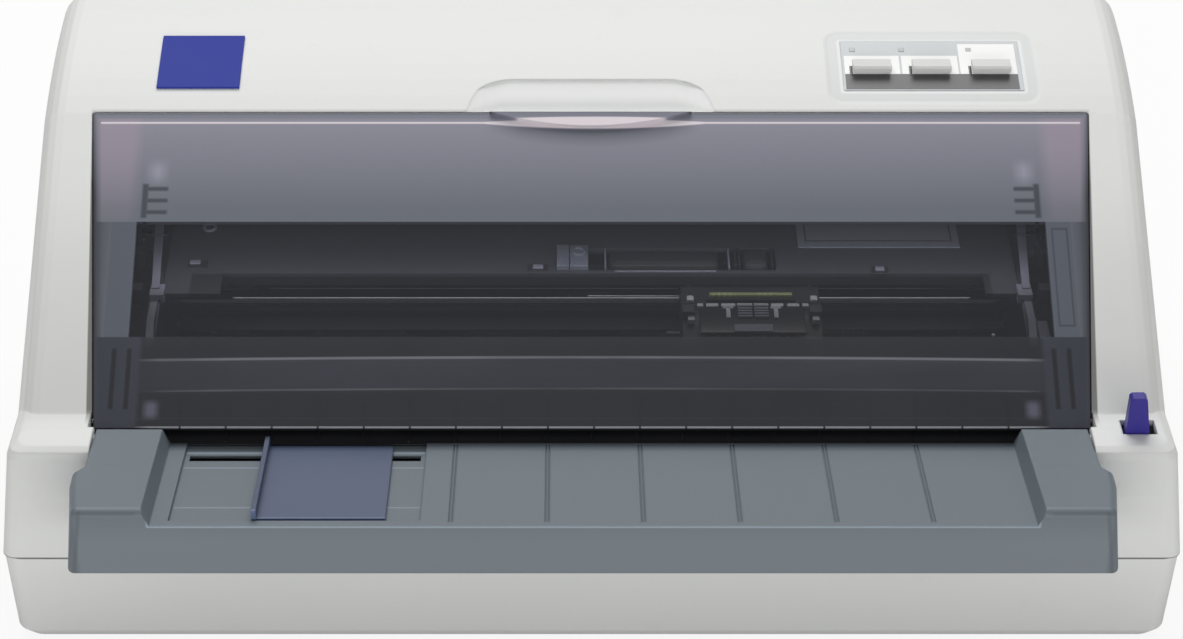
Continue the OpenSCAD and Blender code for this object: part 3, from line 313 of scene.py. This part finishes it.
def tray_finish():
    """The tray, with painted highlights along its edges and on the fine ridges across the guide's
    sunk track.
    """
    f = Finish("tray_finish")
    colour = rgb(106, 116, 124)
    x, y, z = (f.axis(name) * 1000 for name in "XYZ")
    cloud = f.noise(14, 3, 0.6)
    fine = f.noise(1200, 3, 0.65)
    rounded, edge = f.edges(0.0009)
    base = f.mix(cloud, tint(colour, -0.03), tint(colour, 0.03))
    # painted highlights along the edges
    base = f.mix(edge.at_most(0.6), base, tint(colour, 0.45))
    on_track = x.between(TRACK[0], TRACK[1], 0.5) * z.above(84, 1)
    # painted highlights on the fine ridges across the guide's sunk track
    for place, half, pale in zip(TRACK_RIDGES, (0.8, 0.45, 0.45), (1.5, 0.8, 0.8)):
        ridge_highlight = (y - place).size().below(half, 0.3)
        base = f.mix(ridge_highlight * on_track * 0.75, base, tint(colour, pale))
    # painted light: the front face is painted a shade paler, under a painted highlight along the
    # lip and between two ends in painted shade
    side = x.size()
    base = f.mix(y.below(TRAY_FRONT + 0.8, 0.5) * 0.7, base, rgb(120, 127, 134))
    lip = y.below(TRAY_FRONT + 1.2, 0.4) * z.above(LIP_Z, 0.3) * side.below(167, 0.6)
    base = f.mix(lip * 0.95, base, tint(colour, 1.2))
    # painted highlight on the rounded front edge of each wing, over painted shade just below it
    fold = y.below(TRAY_FRONT + 2.2, 0.6) * side.between(171, 193.5, 1)
    base = f.mix(fold * z.above(WING_Z, 0.5) * 0.6, base, tint(colour, 0.8))
    under_fold = z.between(WING_Z - 1.9, WING_Z - 0.5, 0.5)
    base = f.mix(fold * under_fold * 0.5, base, tint(colour, -0.3))
    # painted shade on the two ends of the front face
    front = y.below(TRAY_FRONT + 4, 2)
    base = f.mix(front * side.above(194.2, 1.6) * 0.4, base, tint(colour, -0.5))
    # how far a point lies from the fold of the corner, which flares to the foot; painted shade runs
    # along that fold
    flare = side + (z - 107) * 0.16 - 191.8
    corners = front * z.below(107, 1) * flare.size().below(0.8, 0.7)
    base = f.mix(corners * 0.45, base, tint(colour, -0.5))
    return f.surface(
        Base_Color=base,
        Roughness=0.46 + (cloud - 0.5) * 0.16 + (fine - 0.5) * 0.1,
        Normal=f.bump(fine, 0.3, GRAIN_DEPTH, rounded),
    )


def guide_marks(f, base, colour):
    """The edge guide's pale front edge, dark back and right edges and darker fence."""
    x, y = (f.axis(name) * 1000 for name in "XY")
    base = f.mix(x.below(-125.9, 0.3) * 0.5, base, tint(colour, -0.3))
    base = f.mix(y.above(-75.9, 0.5) * 0.6, base, tint(colour, -0.6))
    base = f.mix(x.above(-78.5, 0.5) * 0.5, base, tint(colour, -0.4))
    return f.mix(y.below(-127.6, 0.4) * 0.8, base, tint(colour, 0.9))


def ear_shadow_marks(f, base, colour):
    """Painted shadow on the two ears of the plate behind the window, as dark patches."""
    x, y = (f.axis(name) * 1000 for name in "XY")
    # painted shadow: dark patches on the ears
    pads = y.below(9.4, 0.5) * x.size().below(164.8, 0.5)
    return f.mix(pads * 0.9, base, rgb(34, 35, 39))


def brushed(name, colour, rough=0.3, stretch=(0.02, 1, 1), tone=0.12):
    """Rolled or turned steel with fine lines along the printer."""
    f = Finish(name)
    lines = f.noise(2600, 2, 0.6, stretch)
    cloud = f.noise(30, 3, 0.6)
    base = f.mix(lines, tint(colour, -tone), tint(colour, tone))
    base = f.mix(cloud.above(0.62, 0.2) * 0.25, base, tint(colour, -0.35))
    rounded, _ = f.edges(0.0003)
    return f.surface(
        Base_Color=base,
        Metallic=1.0,
        Roughness=rough + (lines - 0.5) * 0.15 + (cloud - 0.5) * 0.1,
        Normal=f.bump(lines, 0.1, 0.00003, rounded),
    )


def rubber_finish(name, colour):
    """Ground rubber: dull, with a coarser grain than plastic."""
    f = Finish(name)
    fine = f.noise(900, 4, 0.7)
    cloud = f.noise(35, 3, 0.6)
    base = f.mix(cloud, tint(colour, -0.15), tint(colour, 0.25))
    return f.surface(
        Base_Color=base,
        Roughness=0.62 + (fine - 0.5) * 0.2,
        Normal=f.bump(fine, 0.35, 0.0001),
    )


def board_finish(name, colour):
    """A circuit board: lacquer over copper tracks and pads."""
    f = Finish(name)
    tracks = (f.axis("X") * 420 % 1.0).below(0.4, 0.05)
    rows = f.noise(70, 1, 0.5).above(0.5, 0.04)
    cloud = f.noise(24, 2)
    base = f.mix(cloud, tint(colour, -0.2), tint(colour, 0.15))
    base = f.mix(tracks * rows * 0.6, base, tint(colour, 0.7))
    return f.surface(
        Base_Color=base,
        Roughness=0.35 + (cloud - 0.5) * 0.15,
        Normal=f.bump(tracks * rows, 0.2, 0.00005),
    )


def cover_finish():
    """Smoked plastic: frosted above, clear across the middle, half frosted below."""
    f = Finish("smoked_cover")
    x, y, z = (f.axis(name) * 1000 for name in "XYZ")
    up, out = on_slope(y, z)
    side = x.size()

    def spot(across, low, high, half, soft):
        return (side - across).size().below(half, soft) * up.between(low, high, soft)

    upper = up.above(WINDOW[1], 0.3)
    lower = up.below(WINDOW[0], 0.3)
    middle = (1 - upper) * (1 - lower)
    strip = middle * side.between(184.8, 195, 0.4)
    flank = middle * side.above(195, 0.4)
    window = middle * side.below(184.8, 0.3)
    fine = f.noise(900, 3, 0.6)
    cloud = f.noise(16, 3, 0.55)
    streaks = f.noise(60, 3, 0.6, (0.15, 1, 1))

    colour = f.mix(up.above(118, 44), rgb(105, 110, 121), rgb(148, 147, 161))
    pink = side.above(186.5, 5) * up.above(104, 40)
    colour = f.mix(pink * 0.6, colour, rgb(166, 152, 168))
    glow = spot(177.6, 109, 117, 2.6, 5)
    colour = f.mix(glow * 0.6, colour, rgb(168, 168, 184))
    ribs = spot(182.2, 92, 107.5, 1.2, 1)
    for height in (94.6, 99.9, 105.2):
        ribs = ribs.at_least(spot(177.2, height - 0.9, height + 0.9, 4.3, 0.9))
    colour = f.mix(ribs * 0.9, colour, rgb(58, 62, 73))

    # the lip: a light crescent that catches the light, over a soft shadow
    bow = (1 - (x - GRIP_X) * (x - GRIP_X) / GRIP_HALF**2).at_least(0)
    light_low = 135.4 - bow * 2.2
    crescent = (up - light_low).above(0, 0.5) * (up - bow * 1.5).below(136.2, 0.5)
    crescent = crescent * side.below(202.6, 0.5)
    below_lip = light_low - up
    shade = below_lip.above(0.4, 0.8) * (below_lip - bow * 5).below(0, 8) * bow.above(0.3, 0.5)
    colour = f.mix(shade * 0.8, colour, rgb(84, 90, 102))
    colour = f.mix(crescent * 0.93, colour, rgb(240, 230, 236))

    dark = f.mix(cloud, rgb(33, 34, 39), rgb(43, 46, 54))
    arc = up + x * x * 0.00004
    band = arc.between(17.1, 30.2, 1) * side.below(180, 6)
    dark = f.mix(band * streaks.above(0.4, 0.5) * 0.5, dark, rgb(66, 71, 84))
    # a painted highlight along the step in the lower band
    step_highlight = (arc - 30.3).size().below(0.5, 0.5) * side.below(178, 12) * streaks.above(0.35, 0.4)
    dark = f.mix(step_highlight * 0.6, dark, rgb(150, 150, 160))
    edge_line = (arc - 16.8).size().below(0.4, 0.4) * side.below(176, 12) * streaks.above(0.45, 0.3)
    dark = f.mix(edge_line * 0.4, dark, rgb(130, 130, 140))
    seam = ((x - GROOVE_X) / (GROOVE_PITCH / 2)) % 1.0
    seam = (seam - 0.5).size().above(0.478, 0.02) * side.below(170, 1)
    dark = f.mix(seam * up.below(13.5, 1) * 0.6, dark, rgb(30, 31, 36))
    dash = up.below(0.7, 0.3) * out.above(-0.5, 0.3) * side.below(178, 8) * (1 - seam)
    dark = f.mix(dash * 0.75, dark, rgb(158, 162, 168))
    glow = spot(174, 4.5, 11, 2.4, 3)
    dark = f.mix(glow * 0.55, dark, rgb(120, 122, 142))
    dark = f.mix(side.above(179.5, 2) * 0.9, dark, rgb(60, 63, 75))
    bars = spot(184, 8, 34, 0.9, 0.7).at_least(spot(190, 8, 34, 0.9, 0.7))
    dark = f.mix(bars * 0.9, dark, rgb(30, 31, 37))

    colour = f.mix(lower, colour, dark)
    colour = f.mix(strip, colour, rgb(91, 97, 109))
    frame_line = spot(190.2, 43.5, 87.5, 3.4, 0.5) * (1 - spot(190.2, 44.5, 86.5, 2.6, 0.4))
    colour = f.mix(frame_line * x.above(0, 1) * 0.6, colour, rgb(56, 60, 70))
    colour = f.mix(flank, colour, f.mix(side.above(198, 6), rgb(97, 100, 111), rgb(70, 74, 84)))
    colour = f.mix(window, colour, rgb(58, 59, 65))
    beside = side - half_at(up)
    rim = beside.above(-2.2, 2.4).at_least(up.above(COVER_LENGTH - 2.6, 1.2))
    high = up.above(122, 40)
    colour = f.mix(rim * 0.85, colour, f.mix(high, rgb(60, 64, 74), rgb(126, 129, 142)))
    edge = beside.above(-0.9, 0.6).at_least(up.above(COVER_LENGTH - 0.9, 0.5))
    colour = f.mix(edge * 0.8, colour, f.mix(high, rgb(44, 46, 56), rgb(104, 107, 118)))
    alpha = (
        0.95 * upper + lower * (0.8 + dash * 0.15) + window * 0.36 + strip * 0.86 + flank * 0.92
    ).at_least(rim * 0.97)
    rounded, _ = f.edges(0.0008)
    return f.surface(
        Base_Color=colour,
        Roughness=0.14 + (1 - window) * 0.3 + (cloud - 0.5) * 0.05,
        Alpha=alpha,
        Normal=f.bump(fine, 0.12, 0.00004, rounded),
        Coat_Weight=0.25,
        Coat_Roughness=0.1,
    )


CASE = case_finish()
TRAY = tray_finish()
DARK = moulded("dark_finish", rgb(44, 45, 50), 0.42, 0.3, 1100, 0.12, 0.0004, 0.35)
GLOSS_DARK = moulded("gloss_dark_finish", rgb(34, 34, 38), 0.25, 0.1, 900, 0.1, 0.0004, 0.3, 0.3)
GUIDE = moulded("edge_guide_finish", rgb(78, 89, 115), 0.42, 0.2, 1300, 0.04, 0.0004, 0.4,
                marks=guide_marks)
LEVER = moulded("lever_finish", rgb(58, 51, 142), 0.4, 0.1, 1300, 0.05, 0.0006, 0.2, 0.0, 0.25)
BADGE = moulded("badge_finish", rgb(50, 62, 156), 0.6, 0.06, 1800, 0.02, 0.0004, 0.3, 0.0, 0.15)
PANEL = moulded("panel_finish", rgb(198, 202, 204), 0.42, 0.1, 1800, 0.02, 0.0002, 0.1)
PANEL_WHITE = moulded("panel_white_finish", rgb(244, 244, 243), 0.4, 0.08, 1800, 0.01, 0.0001, 0.0)
PANEL_DARK = moulded("panel_dark_finish", rgb(88, 88, 90), 0.4, 0.1, 1800, 0.03, 0.0001, 0.1)
BUTTON = moulded("button_finish", rgb(218, 218, 216), 0.4, 0.12, 1600, 0.02, 0.0004, 0.2)
GEAR = moulded("gear_finish", rgb(222, 219, 206), 0.4, 0.1, 900, 0.05, 0.0002, 0.2)
HEAD = moulded("head_finish", rgb(112, 118, 130), 0.4, 0.35, 1400, 0.15, 0.0003, 0.8)
PALE_PART = moulded("pale_part_finish", rgb(172, 176, 182), 0.35, 0.3, 1500, 0.2, 0.0003, 0.6)
MOTOR = moulded("motor_finish", rgb(92, 94, 98), 0.4, 0.15, 900, 0.06, 0.0005, 0.4)
STEEL = brushed("steel_finish", rgb(186, 188, 192), 0.32)
# painted shade: the side frames' plated steel made dark, as it stands in shade
SHADED_STEEL = brushed("shaded_steel_finish", rgb(70, 72, 78), 0.5)
SHAFT = brushed("shaft_finish", rgb(128, 130, 134), 0.1, tone=0.06)
INNER_PLATE = moulded("inner_finish", rgb(64, 66, 73), 0.5, 0.3, 1100, 0.1, 0.0004, 0.3,
                      marks=ear_shadow_marks)
INNER = moulded("inner_block_finish", rgb(62, 64, 71), 0.5, 0.3, 1100, 0.1, 0.0004, 0.3)
HOLDER = moulded("holder_finish", rgb(112, 117, 132), 0.45, 0.2, 1300, 0.08, 0.0003, 0.4)
STRIP = moulded("strip_finish", rgb(128, 128, 146), 0.4, 0.15, 1100, 0.08, 0.0004, 0.3)
PLATE_LABEL = moulded("plate_label_finish", rgb(124, 130, 143), 0.45, 0.2, 1300, 0.06, 0.0003, 0.2)
SIDE_PLATE = moulded("side_plate_finish", rgb(92, 98, 112), 0.45, 0.2, 1300, 0.06, 0.0003, 0.2)
MARK = moulded("mark_finish", rgb(236, 236, 232), 0.4, 0.1, 1500, 0.02, 0.0002, 0.1)
LAMP_MARK = moulded("lamp_mark_finish", rgb(176, 179, 181), 0.35, 0.1, 1500, 0.02, 0.0002, 0.1)
RUBBER = rubber_finish("rubber_finish", rgb(38, 38, 40))
BOARD = board_finish("board_finish", rgb(34, 92, 58))
PAPER_BOARD = board_finish("power_board_finish", rgb(150, 120, 72))
HEAD_BOARD = board_finish("head_board_finish", rgb(134, 139, 100))
COVER = cover_finish()

for finish, names in (
    (CASE, "lower_case upper_case"),
    (TRAY, "front_tray"),
    (COVER, "top_cover"),
    (DARK, "lower_paper_guide ac_inlet switch_body carriage left_tractor right_tractor"),
    (INNER_PLATE, "inner_cover"),
    (INNER, "front_rail"),
    (SHADED_STEEL, "left_side_frame right_side_frame"),
    (GLOSS_DARK, "power_switch"),
    (GUIDE, "edge_guide"),
    (LEVER, "release_lever"),
    (BADGE, "badge_plate"),
    (PANEL, "panel_label"),
    (BUTTON, "feed_button load_button pause_button"),
    (GEAR, "platen_gear front_idler_gear rear_idler_gear tractor_idler_gear left_sprocket "
           "right_sprocket drive_pulley idler_pulley shaft_bushings"),
    (BOARD, "main_board panel_board"),
    (HEAD_BOARD, "head_board"),
    (PAPER_BOARD, "power_supply"),
    (STEEL, "base_frame case_screws parallel_port usb_port gear_posts motor_pinion "
            "tractor_shaft tractor_rod"),
    (SHAFT, "guide_shaft cover_hinge_pins platen_shaft front_feed_shaft rear_feed_shaft "
            "front_pressure_shaft rear_pressure_shaft"),
    (MOTOR, "carriage_motor feed_motor"),
    (HEAD, "print_head"),
    (RUBBER, "rubber_feet timing_belt platen_roller front_feed_tyres rear_feed_tyres "
             "front_pressure_tyres rear_pressure_tyres"),
):
    for name in names.split():
        slots = nodes[name].data.materials
        if len(slots) == 0:
            slots.append(finish)
        for i in range(len(slots)):
            slots[i] = finish

# ---------------------------------------------------------------- forms


class Form:
    """A mesh shaped in millimetres on a plane of the printer, which becomes one piece."""

    def __init__(self, plane=IDENTITY):
        self.bm = bmesh.new()
        self.plane = plane

    def _soften(self, edges, edge, segments):
        bmesh.ops.bevel(self.bm, geom=list(edges), offset=edge, offset_type="OFFSET",
                        segments=segments, profile=0.5, affect="EDGES", material=-1)

    def block(self, low, high, edge=0.3, segments=2):
        """A block between two corners, with its edges rounded."""
        low, high = Vector(low), Vector(high)
        made = bmesh.ops.create_cube(self.bm, size=1)["verts"]
        bmesh.ops.scale(self.bm, vec=high - low, verts=made)
        bmesh.ops.translate(self.bm, vec=(low + high) / 2, verts=made)
        if edge:
            self._soften({e for v in made for e in v.link_edges}, edge, segments)

    def rod(self, middle, radius, depth, edge=0.2):
        """An upright round rod with its rims rounded."""
        made = bmesh.ops.create_cone(self.bm, cap_ends=True, segments=32, radius1=radius,
                                     radius2=radius, depth=depth)["verts"]
        bmesh.ops.translate(self.bm, vec=Vector(middle), verts=made)
        rims = {e for v in made for e in v.link_edges
                if abs((e.verts[0].co - e.verts[1].co).normalized().z) < 0.5}
        self._soften(rims, edge, 2)

    def ring(self, middle, outer, inner, height, edge=0.15):
        """A flat ring, turned about Z."""
        section = [(inner, 0), (outer, 0), (outer, height - edge), (outer - edge, height),
                   (inner + edge, height), (inner, height - edge)]
        verts = [self.bm.verts.new((r, 0, z)) for r, z in section]
        edges = [self.bm.edges.new((a, b)) for a, b in zip(verts, verts[1:] + verts[:1])]
        bmesh.ops.translate(self.bm, vec=Vector(middle), verts=verts)
        bmesh.ops.spin(self.bm, geom=verts + edges, cent=middle, axis=(0, 0, 1),
                       angle=2 * math.pi, steps=32, use_merge=True)

    def slab(self, outline, low, high, edge=0.2, axis="Z"):
        """An outline in the plane across the axis, made thick from low to high."""
        order = {"Z": lambda a, b, c: (a, b, c), "X": lambda a, b, c: (c, a, b)}[axis]
        bottom = [self.bm.verts.new(order(a, b, low)) for a, b in outline]
        face = self.bm.faces.new(bottom)
        grown = bmesh.ops.extrude_face_region(self.bm, geom=[face])["geom"]
        made = [v for v in grown if isinstance(v, bmesh.types.BMVert)]
        shift = Vector(order(0, 0, high - low))
        bmesh.ops.translate(self.bm, vec=shift, verts=made)
        self._soften({e for v in made + bottom for e in v.link_edges}, edge, 1)

    def piece(self, name, body, finish):
        """Ends the form as one piece of the scene, in metres, that rides on a body."""
        bm = self.bm
        bmesh.ops.transform(bm, matrix=Matrix.Scale(MM, 4) @ self.plane, verts=bm.verts)
        bmesh.ops.recalc_face_normals(bm, faces=bm.faces)
        mesh = bpy.data.meshes.new(name)
        bm.to_mesh(mesh)
        bm.free()
        for polygon in mesh.polygons:
            polygon.use_smooth = False
        mesh.materials.append(finish)
        made = bpy.data.objects.new(name, mesh)
        bpy.context.scene.collection.objects.link(made)
        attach(made, body)


# ---------------------------------------------------------------- control panel


def control_panel():
    """The printed fields of the label, the lamp windows, and dark strips of painted shade in the
    gaps beside the buttons.
    """
    top = on_top(PANEL_Y)
    low, high = -0.5, -0.1
    cells = Form(top)
    for left, right, back in ((FIELD_LEFT, 130.1, 5.8), (131.0, 154.7, 5.8),
                              (155.4, FIELD_RIGHT, 12.8)):
        cells.block((left, FIELD_FRONT, low), (right, back, high), 0.05, 1)
    cells.piece("panel_cells", "chassis", PANEL_WHITE)
    band = Form(top)
    band.block((FIELD_LEFT, -14.0, low), (FIELD_RIGHT, FIELD_FRONT, high), 0.05, 1)
    band.piece("panel_band", "chassis", PANEL_DARK)
    lamps = Form(top)
    for x in (110.7, 131.5, 159.8):
        lamps.block((x - 1.2, 8.3, low), (x + 1.2, 10.5, high + 0.1), 0.1, 1)
    lamps.piece("panel_lamps", "chassis", LAMP_MARK)
    # dark strips that paint the shade in the gaps beside the buttons
    gaps = Form(top)
    for x in BUTTON_XS:
        left = x - BUTTON_WIDTH / 2
        gaps.block((left - 1.1, BUTTON_Y - 3.6, low),
                   (left + 0.1, BUTTON_Y + 2.2, high + 0.05), 0.05, 1)
    gaps.piece("button_gap_shade", "chassis", GLOSS_DARK)


# ---------------------------------------------------------------- behind the window


def inner_plate():
    """What stands on the flat plate behind the window."""
    z = PLATE_Z
    eye_x, eye_y = -160.8, 41.6
    eye = Form()
    eye.ring((eye_x, eye_y, z - 0.2), 3.0, 1.9, 1.2)
    eye.piece("plate_eye", "chassis", STRIP)
    bosses = Form()
    bosses.rod((eye_x, eye_y, z + 0.1), 1.6, 0.6, edge=0.1)
    for x, y, half in ((-163, 15.5, 4.0), (-21.8, 13.2, 4.2), (119.8, 11.6, 3.4)):
        bosses.block((x - half, y - 2.6, z - 0.2), (x + half, y + 2.6, z + 0.4), 0.2)
    bosses.piece("plate_bosses", "chassis", DARK)
    lip = Form()
    lip.block((-152.0, 10.2, 104.4), (162.0, 10.9, z - 0.4), 0.1, 1)
    lip.piece("plate_lip", "chassis", DARK)
    tabs = Form()
    for x, y, half in ((-164.2, 16.6, 2.2), (-21.8, 13.4, 2.2), (119.8, 12.0, 1.9)):
        tabs.block((x - half, y - 1.2, z + 0.2), (x + half, y + 1.2, z + 1.1), 0.25)
    tabs.piece("plate_tabs", "chassis", STRIP)

    holder = Form()
    holder.block((-14.0, 12.2, z - 3), (-8.9, 27.0, z + 2.2), 0.3)
    holder.block((-8.6, 12.2, z - 3), (-0.9, 27.0, z + 2.0), 0.3)
    holder.ring((-4.9, 22.2, z + 1.9), 2.9, 1.7, 0.9)
    holder.piece("plate_holder", "chassis", HOLDER)

    # the reel's underside stays above the carriage, which passes below it
    reel = Form()
    reel.block((7.5, 14.1, z - 6), (53.5, 24.9, z + 1.2), 3)
    reel.block((63, 13.3, z - 6), (74, 25.7, z + 2), 3)
    for x in (60.2, 61.9, 75.4):
        reel.block((x - 0.4, 13.5, z - 6), (x + 0.4, 25.5, z + 1.8), 0.15)
    reel.piece("plate_reel", "chassis", DARK)
    # painted highlights: pale slivers at the reel's ends and along its front
    slit_highlights = Form()
    for x in (6.2, 57.6):
        slit_highlights.block((x - 0.35, 13.5, z - 3), (x + 0.35, 26.6, z + 0.6), 0.1, 1)
    slit_highlights.block((10, 10.6, z - 0.1), (52, 11.2, z + 0.5), 0.1, 1)
    slit_highlights.piece("plate_slit_highlights", "chassis", STRIP)

    label = Form()
    label.block((87.1, 27.4, z - 0.1), (154.9, 46.8, z + 0.5), 0.15)
    label.piece("plate_panel", "chassis", PLATE_LABEL)
    lines = Form()
    for low, high in (((90.2, 31.4), (151.8, 31.9)), ((90.2, 31.4), (90.7, 46.6)),
                      ((151.3, 31.4), (151.8, 46.6))):
        lines.block((*low, z + 0.3), (*high, z + 0.6), 0, 1)
    lines.piece("plate_panel_lines", "chassis", DARK)


def side_strips():
    """The pale strips, hooks and blocks between the side frames and the case."""
    for side, name in ((-1, "left"), (1, "right")):
        strip = Form()
        outline = [(181.6, 62), (185.6, 62), (179.9, -3), (176.6, -3)]
        strip.slab([(side * x, y) for x, y in outline], 112.2, 113.2, 0.15)
        outline = [(177.0, -5), (180.2, -5), (180.2, -20), (178.6, -38), (175.3, -38), (177.0, -20)]
        strip.slab([(side * x, y) for x, y in outline], 109.2, 110.2, 0.15)
        middle = side * 177.6
        strip.block((middle - 3, -7, 108), (middle + 3, 0.5, 112.6), 0.3)
        strip.piece(name + "_strip", "chassis", STRIP)
        blocks = Form()
        for x, y, half in ((188.5, 44, 2.6), (188.9, 31, 2.2), (187.5, 5, 2.4)):
            blocks.block((side * x - half, y - 2.4, 100), (side * x + half, y + 2.4, 108), 0.4)
        blocks.piece(name + "_blocks", "chassis", INNER)
    tab = Form()
    tab.block((180.6, -30, 104), (185.4, -18, 108), 0.6)
    tab.piece("right_tab", "chassis", STRIP)
    flat = Form()
    flat.block((181.6, 29.5, 104.5), (189.4, 45.5, 107.5), 0.4)
    flat.piece("right_plate", "chassis", SIDE_PLATE)
    dot = Form()
    dot.rod((161.6, -30.2, 110), 0.7, 0.8, edge=0.15)
    dot.piece("rail_dot", "chassis", MARK)


def upper_guide():
    """The sheet over the rear pressure rollers, under the carriage."""
    plate = Form()
    plate.slab([(8.6, 82.6), (8.6, 81.4), (12, 81.6), (44, 79.4), (44, 80.6), (12, 82.8)],
               -172, 172, 0.2, "X")
    plate.piece("rear_upper_guide", "chassis", DARK)


def carriage_top():
    """The cap of the print head and what stands on it."""
    z = HEAD_Z
    cap = Form()
    cap.block((CARRIAGE_X - 21.5, -21.6, 103.6), (CARRIAGE_X + 21.5, -4.6, z), 0.3)
    cap.block((CARRIAGE_X - 27.6, -5.2, 102.8), (CARRIAGE_X + 27.6, -1.2, 104.2), 0.2)
    cap.block((CARRIAGE_X - 18.4, -0.6, 103.2), (CARRIAGE_X + 18.4, 0.6, 105.5), 0.15)
    cap.piece("head_cap", "carriage", GLOSS_DARK)
    pads = Form()
    for left, right in ((43.8, 46.2), (47.5, 52.4), (53.7, 59.4), (60.2, 66.4), (67.2, 73.0),
                        (74.2, 79.2), (80.8, 85.7), (87.0, 89.5)):
        pads.block((left, -4.4, 104.0), (right, -2.4, 104.8), 0.12, 1)
    for x in (41.0, 92.0):
        for y in (0.8, -12.6):
            pads.block((x - 1.4, y - 1.6, 103.0), (x + 1.4, y + 1.6, 105.2), 0.25)
    for x in (56.3, 75.9):
        pads.block((x - 0.9, -12.4, z - 0.1), (x + 0.9, -5.6, z + 0.6), 0.12, 1)
        pads.block((x - 2.2, -6.2, z - 0.1), (x + 2.2, -5.0, z + 0.6), 0.12, 1)
    pads.piece("head_pads", "carriage", PALE_PART)
    fins = Form()
    for middle in (63.2, 69.9):
        for i in range(5):
            y = -12.2 + i * 1.75
            fins.block((middle - 2.9, y, z - 0.1), (middle + 2.9, y + 1.0, z + 1.0), 0.1, 1)
    fins.block((58.3, -21.4, z - 0.1), (74.0, -16.6, z + 0.5), 0.2)
    fins.piece("head_fins", "carriage", HEAD)
    bolts = Form()
    for x in (-25.2, 25.2):
        bolts.rod((CARRIAGE_X + x, 12.5, 103.8), 1.5, 0.8, edge=0.2)
    bolts.piece("carriage_bolts", "carriage", STEEL)


control_panel()
inner_plate()
side_strips()
upper_guide()
carriage_top()

# ---------------------------------------------------------------- floor, light and camera


def floor_finish():
    """A pale floor that the camera sees as white, with a little of the shadow kept."""
    f = Finish("floor_finish")
    speckle = f.noise(3, 2, 0.5)
    colour = f.mix(speckle, (0.82, 0.82, 0.82, 1), (0.86, 0.86, 0.86, 1))
    plain = f.node("ShaderNodeBsdfDiffuse", inputs={"Color": colour})
    white = f.node("ShaderNodeEmission", inputs={"Color": (1, 1, 1, 1), "Strength": 1.0})
    seen = f.node("ShaderNodeLightPath", output="Is Camera Ray")
    return f.end(f.node("ShaderNodeMixShader", inputs={0: seen * 0.88, 1: plain, 2: white}))


mesh = bpy.data.meshes.new("floor")
bm = bmesh.new()
bmesh.ops.create_grid(bm, x_segments=2, y_segments=2, size=FLOOR_HALF)
bm.to_mesh(mesh)
bm.free()
mesh.materials.append(floor_finish())
floor = bpy.data.objects.new("floor", mesh)
bpy.context.scene.collection.objects.link(floor)

world = bpy.data.worlds.new("studio")
world.use_nodes = True
sky = world.node_tree
background = sky.nodes["Background"]
background.inputs["Color"].default_value = (1, 1, 1, 1)
seen = sky.nodes.new("ShaderNodeLightPath")
strength = sky.nodes.new("ShaderNodeMapRange")
strength.inputs["To Min"].default_value = SKY
strength.inputs["To Max"].default_value = 1.0
sky.links.new(seen.outputs["Is Camera Ray"], strength.inputs["Value"])
sky.links.new(strength.outputs["Result"], background.inputs["Strength"])
scene = bpy.context.scene
scene.world = world


def lamp(name, place, aim, size, power):
    """A rectangular area light that faces a point."""
    light = bpy.data.lights.new(name, "AREA")
    light.shape = "RECTANGLE"
    light.size, light.size_y = size
    light.energy = power
    made = bpy.data.objects.new(name, light)
    made.location = place
    made.rotation_euler = (Vector(aim) - Vector(place)).to_track_quat("-Z", "Y").to_euler()
    scene.collection.objects.link(made)


# name, place, point that it faces, size and power
lamp("top_light", (-0.1, 1.1, 1.65), (0, 0, 0.1), (1.8, 1.2), 29)
lamp("front_light", (0.03, -1.5, 0.4), (0, -0.1, 0.07), (2.0, 0.4), 9.6)
lamp("inner_light", (0, 0.004, 0.1262), (0, 0.051, 0.0379), (0.37, 0.018), 0.055)

camera_data = bpy.data.cameras.new("camera")
camera_data.lens = SENSOR * FOCAL_PIXELS / PICTURE_WIDTH
camera_data.sensor_width = SENSOR
camera_data.shift_x = SHIFT_PIXELS / PICTURE_WIDTH
camera_data.clip_end = 20
camera = bpy.data.objects.new("camera", camera_data)
camera.location = CAMERA_PLACE
camera.rotation_euler = (math.radians(90 - CAMERA_DIP), 0, 0)
scene.collection.objects.link(camera)
scene.camera = camera
scene.view_settings.view_transform = "Standard"
